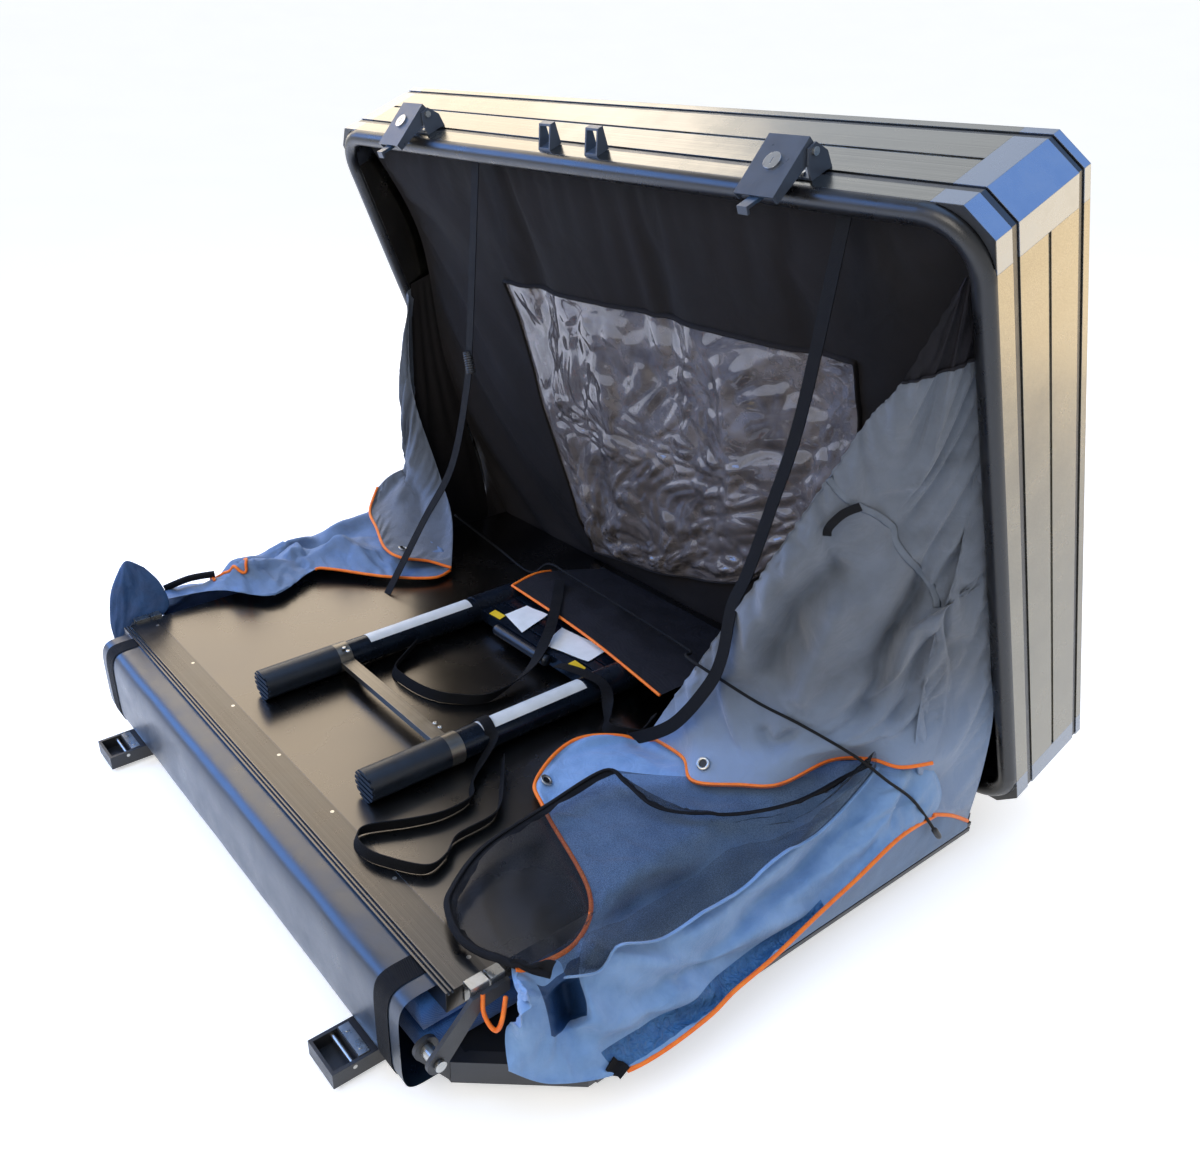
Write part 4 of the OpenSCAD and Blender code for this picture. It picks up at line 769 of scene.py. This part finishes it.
right = wavedSheet("rightWall", rightSpec, canvasPaintedSkyLight)
settle(right, lambda u, v: max(rightEdges(u, v), 0.6 if u < 0.02 else 0.0), **rightSpec["settle"])
sculpt(right, rightSpec["folds"], rightSpec["front"])
hangStraight(right, foldPlace(rightSpec["rows"], **rightSpec["wave"]), rightSpec["straightFrom"])
clearOf(right, cordWay[76:136], rightSpec["front"], gap=0.006, reach=0.045)
addMaterial(right, darkCanvas, lambda u, v: v < rightSpec["bandEnd"])
rightHem = pipe("rightWallPiping", edgeLine(right, 1.0, 80))
rightSeam = tube("rightWallSeam", surfaceLine(right, rightSpec["seam"], -0.001), 0.007, seamTape, 6, flat=0.12)
bandLine = surfaceLine(right, [(u, rightSpec["bandEnd"]) for u in (0.0, 0.5, 1.0)], -0.001)
rightBand = tube("rightWallBand", bandLine, 0.004, darkCanvas, 6, flat=0.4)
tabRun = surfaceLine(right, rightSpec["tab"], -0.012, 20)
rightTab = ribbon("rightWallTab", tabRun[::5], [Vector((0.6, 0.5, -0.6))] * 5, 0.014, 0.003, webbing, 24)
rightEyelets = eyelet("rightEyelet", right, 0.27, 0.955, "side", -1)
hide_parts("wall_right")
declareSheet(right)
carry(right, "side")
for piece in (rightHem, rightSeam, rightBand):
    carry(piece, "side")
carry(rightTab, "side")

# outside of the right wall, from the rim to the groove rail
outerSpec = {
    "cells": (40, 60),
    "wave": {"off": Vector((1, -0.3, 0)), "folds": 1.5, "depth": 0.005, "slant": 0.4, "seed": 7.7},
    "settle": {"frames": 16, "grow": 0.03, "gravity": 0.3, "sag": 0.0}, "rows": [
        [lidPoint(853, 905, -6), lidPoint(857, 905, -3), lidPoint(860.5, 905, 0)],
        [mm(846, 360, 720), mm(852, 400, 715), lidPoint(860.5, 690, 0)],
        [mm(838, 345, 600), mm(850, 420, 600), lidPoint(860.5, 560, -4)],
        [mm(838, 340, 460), mm(854, 440, 460), lidPoint(860.5, 410, -8)],
        [mm(844, 345, 340), mm(860, 450, 330), lidPoint(861, 290, -12)],
        spots(((846, 385, 255), (862, 465, 235), (866, 566, 215))),
        spots(((871, 400, 196), (871, 470, 160), (863, 560, 97)))]}
outer = wavedSheet("rightOuterWall", outerSpec, canvasPaintedSkyLight)
settle(outer, pinnedEdges(0.03, 0.03, 0.04, 0.04), **outerSpec["settle"])
outerHem = pipe("outerWallPiping", edgeLine(outer, 1.0, 30))
carry(outerHem, "outer")
declareSheet(outer)
carry(outer, "outer")

# right lower wall: from the panel over its edge to the hem
skirtSpec = {
    "cells": (130, 70), "front": Vector((0.6, -0.45, 0.65)),
    "wave": {"off": Vector((0.5, 0, 0.8)), "folds": 4.5, "depth": 0.006, "slant": 0.8, "seed": 5.0},
    "settle": {"frames": 22, "grow": 0.06, "gravity": 0.2, "sag": 0.0}, "rows": [spots(row) for row in (
        ((742, -505, 252), (752, -480, 250), (766, -391, 262), (689, -303, 258), (478, -232, 257), (395, -187, 258),
         (347, -43, 262), (444, 76, 266), (600, 150, 285), (740, 270, 300)),
        ((772, -516, 280), (770, -478, 235), (784, -395, 268), (740, -290, 274), (620, -190, 276), (560, -110, 276),
         (530, -10, 278), (600, 100, 290), (710, 210, 300), (800, 340, 305)),
        ((800, -525, 300), (792, -474, 205), (806, -400, 248), (790, -280, 262), (770, -180, 268), (760, -80, 270),
         (760, 30, 276), (780, 160, 296), (815, 290, 306), (845, 400, 290)),
        ((804, -545, 220), (818, -480, 140), (850, -418, 165), (852, -270, 168), (842, -160, 176), (838, -60, 184),
         (838, 60, 196), (842, 170, 222), (856, 310, 250), (866, 430, 232)),
        ((802, -561, 134), (840, -500, 92), (874, -380, 66), (885, -220, 70), (885, -140, 78), (885, -40, 90),
         (883, 56, 110), (881, 159, 146), (878, 290, 196), (870, 420, 184)))],
    "folds": (
        (-76, 25, ((0.16, 0.44), (0.17, 0.58), (0.18, 0.70))),
        (34, 26, ((0.03, 0.46), (0.02, 0.60), (0.0, 0.78))),
        (14, 12, ((0.24, 0.15), (0.22, 0.50), (0.21, 0.72))),
        (-30, 16, ((0.30, 0.40), (0.36, 0.43), (0.50, 0.52))),
        (-26, 14, ((0.28, 0.26), (0.38, 0.49), (0.56, 0.51))),
        (22, 14, ((0.40, 0.66), (0.59, 0.66), (0.76, 0.60))),
        (-28, 15, ((0.29, 0.74), (0.46, 0.75), (0.68, 0.71), (0.82, 0.65)))),
    "loop": ((742, -556, 236), (745, -558, 205), (757, -555, 184), (770, -551, 182), (776, -545, 205),
             (774, -536, 246)),
    "tab": ((0.215, 0.90), (0.215, 0.95), (0.215, 1.0))}
skirt = wavedSheet("rightSkirt", skirtSpec, blueCanvas)
settle(skirt, pinnedEdges(left=0), colliders=[panelBox], **skirtSpec["settle"])
sculpt(skirt, skirtSpec["folds"], skirtSpec["front"])
clearOf(skirt, edgeLine(right, 1.0, 80), Vector((0.4, -0.5, 0.75)), gap=0.012, reach=0.05)
lay(skirt, [nodes[n] for n in ("floor_panel", "fold_brackets", "base_board")], gap=0.007, reach=0.5)
setPoints(skirt, blurred(pointField(skirt, skirt.data), 1))
addMaterial(skirt, ruchedCanvas, lambda u, v: 0.85 < v < 0.96 and 0.215 < u < 0.70)
addMaterial(skirt, navyCanvasAndPaintedShade, lambda u, v: 0.10 < u < 0.205 and 0.36 < v < 0.68)  # painted shade: dark navy cloth laid over the deep fold's hollow
skirtHem = pipe("rightHemPiping", edgeLine(skirt, 1.0, 90, 0.22, 1.0))
skirtEdge = pipe("rightSkirtPiping", edgeLine(skirt, 0.0, 90, 0.05, 0.82))
skirtEyelets = eyelet("skirtEyelet", skirt, 0.55, 0.05, "tuckRight", -1)
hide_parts("skirt_right")
orangeLoop = pipe("orangeLoop", along(spots(skirtSpec["loop"]), 30))
tabWay = surfaceLine(skirt, skirtSpec["tab"], -0.004, 12)
hemTab = ribbon("hemTab", tabWay[::4], [Vector((0, 1, 0.1))] * 4, 0.024, 0.003, webbing, 16)
declareSheet(skirt)
carry(skirt, "tuckRight")
carry(hemTab, "tuckRight")
for piece in (skirtHem, skirtEdge):
    carry(piece, "tuckRight")
carry(orangeLoop, "base")

# insect net door lying over the right lower wall
netSpec = {
    "cells": (90, 36), "arch": 0.030, "tape": 0.018, "settle": {"frames": 12, "grow": 0.04, "gravity": 0.15},
    "left": spots((
        (800, -470, 268), (729, -514, 262), (659, -537, 262), (595, -521, 264), (558, -490, 266), (506, -388, 268),
        (491, -236, 274), (500, -106, 300), (558, -103, 304), (636, -106, 302), (700, -63, 304), (750, 8, 304),
        (785, 104, 308), (795, 222, 318), (800, 280, 322))),
    "right": spots((
        (812, -450, 262), (818, -381, 232), (824, -300, 226), (826, -169, 228), (826, -60, 236), (826, 40, 248),
        (828, 140, 272), (822, 230, 306), (812, 284, 322)))}


def netPlace(u, v):
    p = curve(netSpec["left"], u).lerp(curve(netSpec["right"], u), v)
    fine = 0.008 * noise.noise(Vector((u * 9, v * 4, 3.1)))
    p.z += netSpec["arch"] * math.sin(math.pi * v) + fine * math.sin(math.pi * v)
    return p


net = grid("netDoor", netPlace, *netSpec["cells"], netting)
settle(net, pinnedEdges(top=0.03, bottom=0.03), colliders=[panelBox], **netSpec["settle"])
lay(net, [skirt, nodes["floor_panel"], nodes["fold_brackets"]], gap=0.022)
netWidths = [(a - b).length for a, b in zip(along(netSpec["left"], 90), along(netSpec["right"], 90))]
tapeShare = [netSpec["tape"] / max(width, 0.05) for width in netWidths]
addMaterial(net, binding, lambda u, v: v < tapeShare[int(u * 90)])
netTape = tube("netDoorBinding", edgeLine(net, 0.0, 110), 0.007, binding, flat=0.45)
addMaterial(net, netEdge, lambda u, v: v > 0.84)
netSide = tube("netDoorSeam", edgeLine(net, 1.0, 80), 0.007, blueCanvas, flat=0.3)
declareSheet(net)
carry(net, "tuckRight")
carry(netTape, "tuckRight")
carry(netSide, "tuckRight")


def netTopPlace(u, v):
    # between the door's binding and the right wall's hem
    tip, low = at(net, 0.49, 0.0), at(net, 0.49 + 0.47 * u, 0.0)
    hem = at(right, 0.22 + 0.50 * max(0.0, u - 0.25) / 0.75, 1.0)
    high = tip.lerp(hem, min(1.0, u / 0.25))
    return low.lerp(high, v) + Vector((0, 0, 0.012 * math.sin(math.pi * v) * min(1.0, 4 * u)))


netTop = grid("netDoorTop", netTopPlace, 60, 16, netting)
lay(netTop, [skirt], gap=0.008)
declareSheet(netTop)
carry(netTop, "tuckRight")

# right wall's lower edge, tucked into the groove rail
tuckSpec = {"cells": (80, 10), "grooveX": 0.8585, "grooveZ": 0.068, "ripple": 0.004}
tuckWay = edgeLine(skirt, 1.0, 40, 0.55, 1.0) + edgeLine(outer, 1.0, 14, 0.30, 1.0)


def tuckPlace(u, v):
    a = curve(tuckWay, u)
    groove = Vector((tuckSpec["grooveX"], a.y + tuckSpec["ripple"] * math.sin(40 * u), tuckSpec["grooveZ"]))
    return a.lerp(groove, v) + Vector((0.004 * math.sin(math.pi * v), 0, 0))


tuck = grid("rightTuckedEdge", tuckPlace, *tuckSpec["cells"], slateCanvas)
declareSheet(tuck)
carry(tuck, "tuckRight")

# left wall
leftSpec = {
    "cells": (56, 70), "front": Vector((0.5, -0.8, 0.3)),
    "wave": {"off": Vector((0.45, 0.9, 0)), "folds": 2, "depth": 0.010, "slant": 0.5, "seed": 3.3},
    "settle": {"frames": 22, "grow": 0.05, "gravity": 0.4, "sag": 0.0}, "rows": [
        [lidPoint(-846, 880, -20), lidPoint(-854, 884, -8), lidPoint(-861.7, 888, 6)],
        [mm(-835, 330, 640), mm(-852, 300, 640), lidPoint(-861.7, 610, 4)],
        [mm(-770, 365, 400), mm(-855, 278, 400), lidPoint(-860, 360, -10)],
        spots(((-640, 320, 300), (-700, 240, 350), (-800, 240, 380), (-864, 290, 390))),
        spots(((-455, 190, 260), (-500, 150, 268), (-540, 86, 276), (-600, 72, 286), (-700, 105, 304),
               (-789, 136, 324), (-856, 204, 360)))],
    "folds": (
        (-18, 18, ((0.30, 0.30), (0.36, 0.60), (0.30, 0.86))),
        (14, 16, ((0.60, 0.40), (0.58, 0.80))),
        (-14, 14, ((0.75, 0.55), (0.80, 0.90))))}
left = wavedSheet("leftWall", leftSpec, canvas)
settle(left, pinnedEdges(), colliders=[panelBox], **leftSpec["settle"])
sculpt(left, leftSpec["folds"], leftSpec["front"])
leftHem = pipe("leftWallPiping", edgeLine(left, 1.0, 60))
leftEyelets = eyelet("leftEyelet", left, 0.36, 0.93, "side", 1)
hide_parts("wall_left")
declareSheet(left)
carry(left, "side")
carry(leftHem, "side")

# left lower wall, heaped on the panel's edge
heapSpec = {
    "cells": (90, 48), "front": Vector((0.3, -0.4, 1)),
    "wave": {"off": Vector((-0.2, 0, 1)), "folds": 4, "depth": 0.009, "slant": 0.9, "seed": 8.0},
    "settle": {"frames": 22, "grow": 0.08, "gravity": 0.25, "sag": 0.0}, "rows": [spots(row) for row in (
        ((-463, 197, 255), (-449, 128, 255), (-525, 30, 255), (-640, -72, 258), (-660, -120, 256), (-606, -253, 254),
         (-699, -353, 255), (-730, -477, 252)),
        ((-560, 230, 270), (-580, 130, 274), (-650, 30, 280), (-740, -60, 298), (-740, -150, 294), (-700, -262, 290),
         (-765, -350, 286), (-785, -480, 272)),
        ((-846, 190, 300), (-850, 100, 296), (-856, 10, 286), (-860, -90, 280), (-862, -190, 272), (-862, -290, 262),
         (-862, -390, 250), (-852, -480, 224)),
        ((-861, 200, 90), (-868, 100, 72), (-872, 0, 70), (-876, -100, 70), (-876, -210, 72), (-874, -310, 70),
         (-872, -390, 70), (-862, -460, 66)))],
    "folds": (
        (18, 22, ((0.10, 0.30), (0.45, 0.38), (0.85, 0.30))),
        (-22, 16, ((0.15, 0.50), (0.50, 0.56), (0.88, 0.48))),
        (14, 14, ((0.30, 0.15), (0.34, 0.55))),
        (-14, 14, ((0.56, 0.10), (0.60, 0.55)))),
    "turnedEdge": ((0.86, 0.22), (0.84, 0.42), (0.76, 0.25), (0.70, 0.42)),
    "rolledStrap": ((-799, -464, 272), (-783, -402, 288), (-760, -342, 292))}
heap = wavedSheet("leftSkirt", heapSpec, slateCanvas)
settle(heap, pinnedEdges(right=0), colliders=[panelBox], **heapSpec["settle"])
sculpt(heap, heapSpec["folds"], heapSpec["front"])
lay(heap, [nodes["floor_panel"]], gap=0.004, reach=0.6)
heapHem = pipe("leftSkirtPiping", edgeLine(heap, 0.0, 70, 0.02, 0.54))
heapFold = pipe("leftFoldPiping", surfaceLine(heap, heapSpec["turnedEdge"], -0.003, 60))
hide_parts("skirt_left")
rolledStrap = tube("leftRolledStrap", along(spots(heapSpec["rolledStrap"]), 24), 0.012, webbing, 14, flat=0.7)
declareSheet(heap)
carry(rolledStrap, "tuckLeft")
carry(heap, "tuckLeft")
carry(heapHem, "tuckLeft")
carry(heapFold, "tuckLeft")

# corner of cloth standing up at the front left
earSpec = {
    "cells": (24, 30), "wave": {"off": Vector((0.7, -0.6, 0)), "folds": 1, "depth": 0.004, "slant": 0.3, "seed": 1.2},
    "rows": [spots(row) for row in (
        ((-800, -565, 360), (-784, -548, 382), (-764, -515, 362)),
        ((-796, -598, 305), (-772, -560, 320), (-742, -488, 316)),
        ((-775, -618, 240), (-752, -580, 250), (-730, -484, 252)),
        ((-752, -622, 200), (-742, -600, 200), (-735, -560, 205)))]}
ear = wavedSheet("cornerEar", earSpec, navyCanvasAndPaintedShade)
declareSheet(ear)
carry(ear, "low")

# flap over the stowed ladder
flapSpec = {
    "cells": (48, 36), "piping": 0.0035,
    "wave": {"off": Vector((0, 0, 1)), "folds": 2, "depth": 0.002, "slant": 0.7, "seed": 6.0},
    "rows": [spots(row) for row in (
        ((-205, 205, 311.8), (90, 190, 311.8), (380, 150, 311.8)),
        ((-215, 290, 315.8), (80, 275, 315.8), (390, 240, 315.8)),
        ((-230, 400, 286), (80, 400, 284), (400, 380, 278)),
        ((-240, 540, 244.3), (80, 540, 244.3), (410, 530, 244.3)))]}
flap = wavedSheet("ladderFlap", flapSpec, darkCanvas)
flapLine = [at(flap, 0, 0.5 - k / 60) for k in range(30)] + edgeLine(flap, 0.0, 50)
flapEdge = pipe("ladderFlapPiping", flapLine, flapSpec["piping"])
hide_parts("ladder_flap")
declareSheet(flap)
carry(flap, "base")
carry(flapEdge, "base")
print("cloth made")

# webbing straps: two that pull the lid down, three on the ladder
strapSpec = {
    "width": 0.025, "thick": 0.002,
    "rightPull": [lidPoint(648, 1297, 8)] + spots((
        (603, 216, 960), (590, 180, 795), (590, 136, 683), (598, 93, 630), (610, 66, 548), (594, 54, 480),
        (536, 34, 375), (452, 28, 300), (420, 36, 282))),
    "leftPull": [lidPoint(-325, 1297, 8)] + spots((
        (-400, 232, 892), (-430, 236, 740), (-475, 215, 540), (-520, 150, 390), (-470, 0, 244.3))),
    "ladder": spots((
        (200, -185, 292), (218, -188, 309), (236, -190, 313), (256, -193, 304), (272, -200, 284), (290, -240, 262),
        (330, -290, 258), (365, -318, 258), (372, -380, 258), (355, -440, 258), (321, -518, 258), (335, -545, 258),
        (370, -550, 258), (412, -535, 258), (475, -488, 258), (468, -440, 258), (440, -400, 258), (429, -306, 258),
        (360, -240, 258), (300, -195, 260))),
    "inner": spots((
        (-138, 303, 323), (-40, 210, 320), (45, 118, 312), (84, 33, 272), (103, -84, 258), (60, -150, 258),
        (8, -182, 258), (-60, -195, 258), (-118, -192, 258), (-150, -150, 260), (-172, -97, 272))),
    "tail": spots((
        (150, 62, 306), (177, 65, 314), (234, 80, 316), (280, 88, 306), (320, 62, 270), (347, 39, 259),
        (396, 70, 260), (392, 110, 268), (386, 131, 275))),
    "grip": spots(((-412, 232, 850), (-405, 232, 825), (-398, 232, 800)))}


def strap(name, route, sides, steps):
    # sides: (direction across the strap, for how many points)
    across = [Vector(way) for way, count in sides for _ in range(count)]
    return ribbon(name, strapSpec[route], across, strapSpec["width"], strapSpec["thick"], webbing, steps)


rightStrap = strap("rightPullStrap", "rightPull", (((1, 0, 0), 10),), 120)
leftStrap = strap("leftPullStrap", "leftPull", (((1, 0, 0), 6),), 90)
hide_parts("pull_straps")
for piece in (rightStrap, leftStrap):
    carry(piece, "bend")
ladderStrap = strap("ladderStrap", "ladder", (((0, 1, 0), 4), ((0.5, 0.5, 0.6), 2), ((0.35, 0.2, 1), 14)), 160)
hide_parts("ladder_strap")
innerStrap = strap("ladderInnerStrap", "inner", (((0.7, 0.7, 0), 3), ((0.8, 0.2, 0.5), 1), ((0.3, 0.3, 1), 7)), 120)
tailStrap = strap("ladderTailStrap", "tail", (((0, 1, 0), 4), ((0.4, 0.4, 0.8), 5)), 90)
for piece in (ladderStrap, innerStrap, tailStrap):
    carry(piece, "floor")
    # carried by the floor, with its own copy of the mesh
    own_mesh(piece)
gripWay = along(strapSpec["grip"], 40)
strapGrip = tube("strapGrip", gripWay, 0.010, blackPlastic, 14, flat=0.6)
swell(strapGrip, gripWay, 14, lambda k: 1.25 if k % 4 < 2 else 0.95)  # moulded ribs
carry(strapGrip, "bend")

# ladder labels, papers and grip
labelSpec = {
    "tubeRadius": 31.4, "tubeZ": 278, "turn": (-35, 75), "paperZ": 294,
    "tubes": (("leftTubeLabel", -210.5, -205, 75), ("rightTubeLabel", 234.5, -205, 60)),
    "papers": (("leftPaper", ((-120, 120), (-124, 189), (-57, 201), (-26, 100)), paper, 1.5),
               ("rightPaper", ((47, 105), (12, 188), (153, 207), (166, 138)), paper, 1.5),
               ("leftSticker", ((-149, 94), (-155, 117), (-116, 119), (-109, 97)), labelYellow, 0.3),
               ("rightSticker", ((145, 94), (142, 120), (182, 118), (190, 95)), labelYellow, 0.3)),
    "grip": ((-101, 80), (192, 3)), "gripZ": 279, "gripRadius": 0.013,
    "screwX": (-0.190, -0.172, 0.182, 0.200), "screwY": -0.274}


def tubeLabel(name, axis, low, high):
    def place(u, v):
        turn = math.radians(labelSpec["turn"][0] + labelSpec["turn"][1] * u)
        return mm(axis + labelSpec["tubeRadius"] * math.sin(turn), low + (high - low) * v,
                  labelSpec["tubeZ"] + labelSpec["tubeRadius"] * math.cos(turn))
    carry(grid(name, place, 16, 24, labelWhite), "ladder_1")


def laidPaper(name, corners, mat, curl):
    a, b, c, d = (mm(*corner, labelSpec["paperZ"]) for corner in corners)

    def place(u, v):
        lift = curl * (1 + noise.noise(Vector((u * 2, v * 2, corners[0][0]))))
        return patchPoint([[a, b], [d, c]], u, v) + mm(0, 0, lift)
    carry(grid(name, place, 16, 16, mat), "ladder_2")


for row in labelSpec["tubes"]:
    tubeLabel(*row)
for row in labelSpec["papers"]:
    laidPaper(*row)
(gripX, gripY), (gripLong, gripSkew) = labelSpec["grip"]
gripRun = [mm(gripX + gripLong * k / 40, gripY + gripSkew * k / 40, labelSpec["gripZ"]) for k in range(41)]
rungGrip = tube("rungGrip", gripRun, labelSpec["gripRadius"], ladderPlastic, 20)
swell(rungGrip, gripRun, 20, lambda k: 0.8 if k in (0, 40) else 1.0)  # rounded ends
carry(rungGrip, "ladder_1")
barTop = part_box("ladder_crossbar")[1][2]
for k, x in enumerate(labelSpec["screwX"]):
    centre = Vector((x, labelSpec["screwY"], barTop + 0.0008))
    screw = ring("barScrew%d" % k, centre, Vector((0, 0, 1)), 0.0025, 0.0028, brightSteel, 18, 8)
    carry(screw, "ladder_1")
print("straps and labels made")

# padded vinyl cover round the fold, with two webbing bands
rollSpec = {"length": 1370, "middle": (-604.3, 141), "half": (70, 97), "square": 0.4, "dent": 1.5,
            "bands": (("leftRollBand", -632), ("rightRollBand", 632)), "bandWidth": 44, "bandLift": 1.6}


def rollPoint(x, v, out):
    t = math.radians(90 - 180 * v)
    bulge = abs(math.cos(t)) ** rollSpec["square"]
    rise = math.copysign(abs(math.sin(t)) ** rollSpec["square"], math.sin(t))
    dent = rollSpec["dent"] * noise.noise(Vector((x / 110, v * 3, 2.0))) * bulge
    return mm(x, rollSpec["middle"][0] - (rollSpec["half"][0] + dent + out) * bulge,
              rollSpec["middle"][1] + (rollSpec["half"][1] + out) * rise)


roll = grid("hingeCover", lambda u, v: rollPoint((u - 0.5) * rollSpec["length"], v, 0), 120, 40, vinyl)
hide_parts("hinge_cover")
carry(roll, "base")
rollPieces = [roll]
for name, x in rollSpec["bands"]:
    band = grid(name, lambda u, v: rollPoint(x + rollSpec["bandWidth"] * (u - 0.5), v, rollSpec["bandLift"]), 6, 40,
                webbing)
    carry(band, "base")
    rollPieces.append(band)
for piece in rollPieces:
    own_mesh(piece)  # each with its own copy of the mesh

# black strips in the lid's shadow gaps, a painted shade that darkens the recesses: name, lowest and highest height
gapShadeStrips = (("lowGapShade", 36, 52), ("topGapShade", 193, 206))
for name, low, high in gapShadeStrips:
    profile = ((3.4, low + 0.3), (2.2, low + 3), (2.2, high - 3), (3.4, high - 0.3), (6.6, high - 0.3),
               (6.6, low + 0.3))
    halfWidth, deep = lidSpec["width"] / 2, lidSpec["depth"]
    points = []
    for inset, h in profile:
        cut = 46 + 0.414 * inset  # the corner's cut, drawn in with the strip
        points += [lidPoint(x, u, h) for x, u in (
            (cut - halfWidth, inset), (halfWidth - cut, inset), (halfWidth - inset, cut),
            (halfWidth - inset, deep - cut), (halfWidth - cut, deep - inset), (cut - halfWidth, deep - inset),
            (inset - halfWidth, deep - cut), (inset - halfWidth, cut))]
    faces = [(a * 8 + k, a * 8 + (k + 1) % 8, ((a + 1) % 6) * 8 + (k + 1) % 8, ((a + 1) % 6) * 8 + k)
             for a in range(6) for k in range(8)]
    carry(makeMesh(name, points, faces, sealRubber, False), "lid")

# mattresses: piece, node, height of one face, thickness from there, body
mattressSpec = {"low": (-685, -632), "size": (1370, 1192), "pull": 8, "cells": (60, 50, 8), "fill": 0.8,
                "pieces": (("lowerMattress", "lower_mattress", 87.3, 54, "base"),
                           ("upperMattress", "upper_mattress", 203.7, -55, "floor"))}
for name, node, base, thick, body in mattressSpec["pieces"]:
    nu, nv, layers = mattressSpec["cells"]
    outline = border(nu, nv)
    around = len(outline)
    points, faces = [], []
    for s in range(layers + 1):
        inset = mattressSpec["pull"] * (1 - math.sin(math.pi * s / layers) ** 0.5)  # edges pull in top and bottom
        for u, v in outline:
            x, y = (low + size * t for low, size, t in zip(mattressSpec["low"], mattressSpec["size"], (u, v)))
            x -= math.copysign(inset, x) * (abs(u - 0.5) > 0.49)
            y += inset * ((v < 0.01) - (v > 0.99))
            points.append(mm(x, y, base + thick * (s / layers)))
    for s in range(layers):
        for k in range(around):
            a, b = s * around + k, s * around + (k + 1) % around
            faces.append((a, b, b + around, a + around))
    faces += [tuple(reversed(range(around))), tuple(range(layers * around, (layers + 1) * around))]
    pad = makeMesh(name, points, faces, meshFabric)
    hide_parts(node)
    carry(pad, body)
print("padding made")

bpy.data.objects.remove(panelBox)

# stage: pale floor that rises far off like a studio sweep
stageSpec = {"half": 60000, "level": -2, "flat": 9000, "rise": 6e-5, "power": 1.8, "glow": 0.52,
             "sky": "#eaf1fb", "skyStrength": 0.64}


def floorPlace(u, v):
    x, y = (-stageSpec["half"] + 2 * stageSpec["half"] * t for t in (u, v))
    far = max(0, math.hypot(x, y) - stageSpec["flat"])
    return mm(x, y, stageSpec["level"] + stageSpec["rise"] * far ** stageSpec["power"])


paleFloor = surface("pale studio floor", ("#f3f1ec", "#f7f5f0"), 0.8, patch=900, grain=20, depth=0.02,
                    sockets={"Emission Color": linear("#f7f8fa")})
grid("floor", floorPlace, 60, 60, paleFloor)
# glows for the camera, reflections and clear pieces only, so it lights nothing
ray = add(paleFloor, "ShaderNodeLightPath").outputs
seenRay = add(paleFloor, "ShaderNodeMath", {0: ray["Is Camera Ray"], 1: ray["Is Glossy Ray"]}, operation="MAXIMUM")
shownRay = add(paleFloor, "ShaderNodeMath", {0: seenRay.outputs[0], 1: ray["Is Transmission Ray"]},
               operation="MAXIMUM")
glow = add(paleFloor, "ShaderNodeMath", {0: shownRay.outputs[0], 1: stageSpec["glow"]}, operation="MULTIPLY")
floorShader = paleFloor.node_tree.nodes["Principled BSDF"]
paleFloor.node_tree.links.new(glow.outputs[0], floorShader.inputs["Emission Strength"])
world = bpy.data.worlds.new("studio")
bpy.context.scene.world = world
world.use_nodes = True
world.node_tree.nodes["Background"].inputs["Color"].default_value = linear(stageSpec["sky"])
world.node_tree.nodes["Background"].inputs["Strength"].default_value = stageSpec["skyStrength"]

# soft lamps: name, place, aim, size, watts, colour
lamps = (
    ("beigeCard", (-3.9, 1.1, 2.8), (-0.3, -0.2, 0.3), (3.4, 3.4), 94, "#ffedd2"),
    ("paleCard", (-2.6, 2.8, 4.6), (0, 0.2, 1.0), (3.0, 2.6), 22, "#dfeaff"),
    ("blueCard", (2.7, 2.2, 4.4), (0.8, 0.2, 1.2), (2.4, 2.4), 26, "#3a9cff"),
    ("tanCard", (2.7, 3.7, 0.95), (0.9, 0.5, 0.8), (3.2, 1.8), 42, "#f3d39a"),
    ("skyCard", (-3.2, -2.5, 2.8), (-0.2, -0.5, 0.2), (3.4, 2.8), 150, "#5c9eff"),
    ("topCard", (0.4, -0.6, 5.0), (0.2, -0.3, 0.2), (3.6, 3.0), 70, "#7db6ff"),
    ("front", (1.0, -4.2, 3.4), (0, 0, 0.5), (3.0, 2.2), 90, "#fff6ea"),
)
for name, place, aim, size, watts, code in lamps:
    lamp = bpy.data.lights.new(name, "AREA")
    lamp.shape, lamp.size, lamp.size_y = "RECTANGLE", size[0], size[1]
    lamp.energy, lamp.color = watts, linear(code)[:3]
    holder = bpy.data.objects.new(name, lamp)
    holder.location = place
    holder.rotation_euler = (Vector(aim) - Vector(place)).to_track_quat("-Z", "Y").to_euler()
    holder.visible_camera = False
    bpy.context.collection.objects.link(holder)
print("stage made")
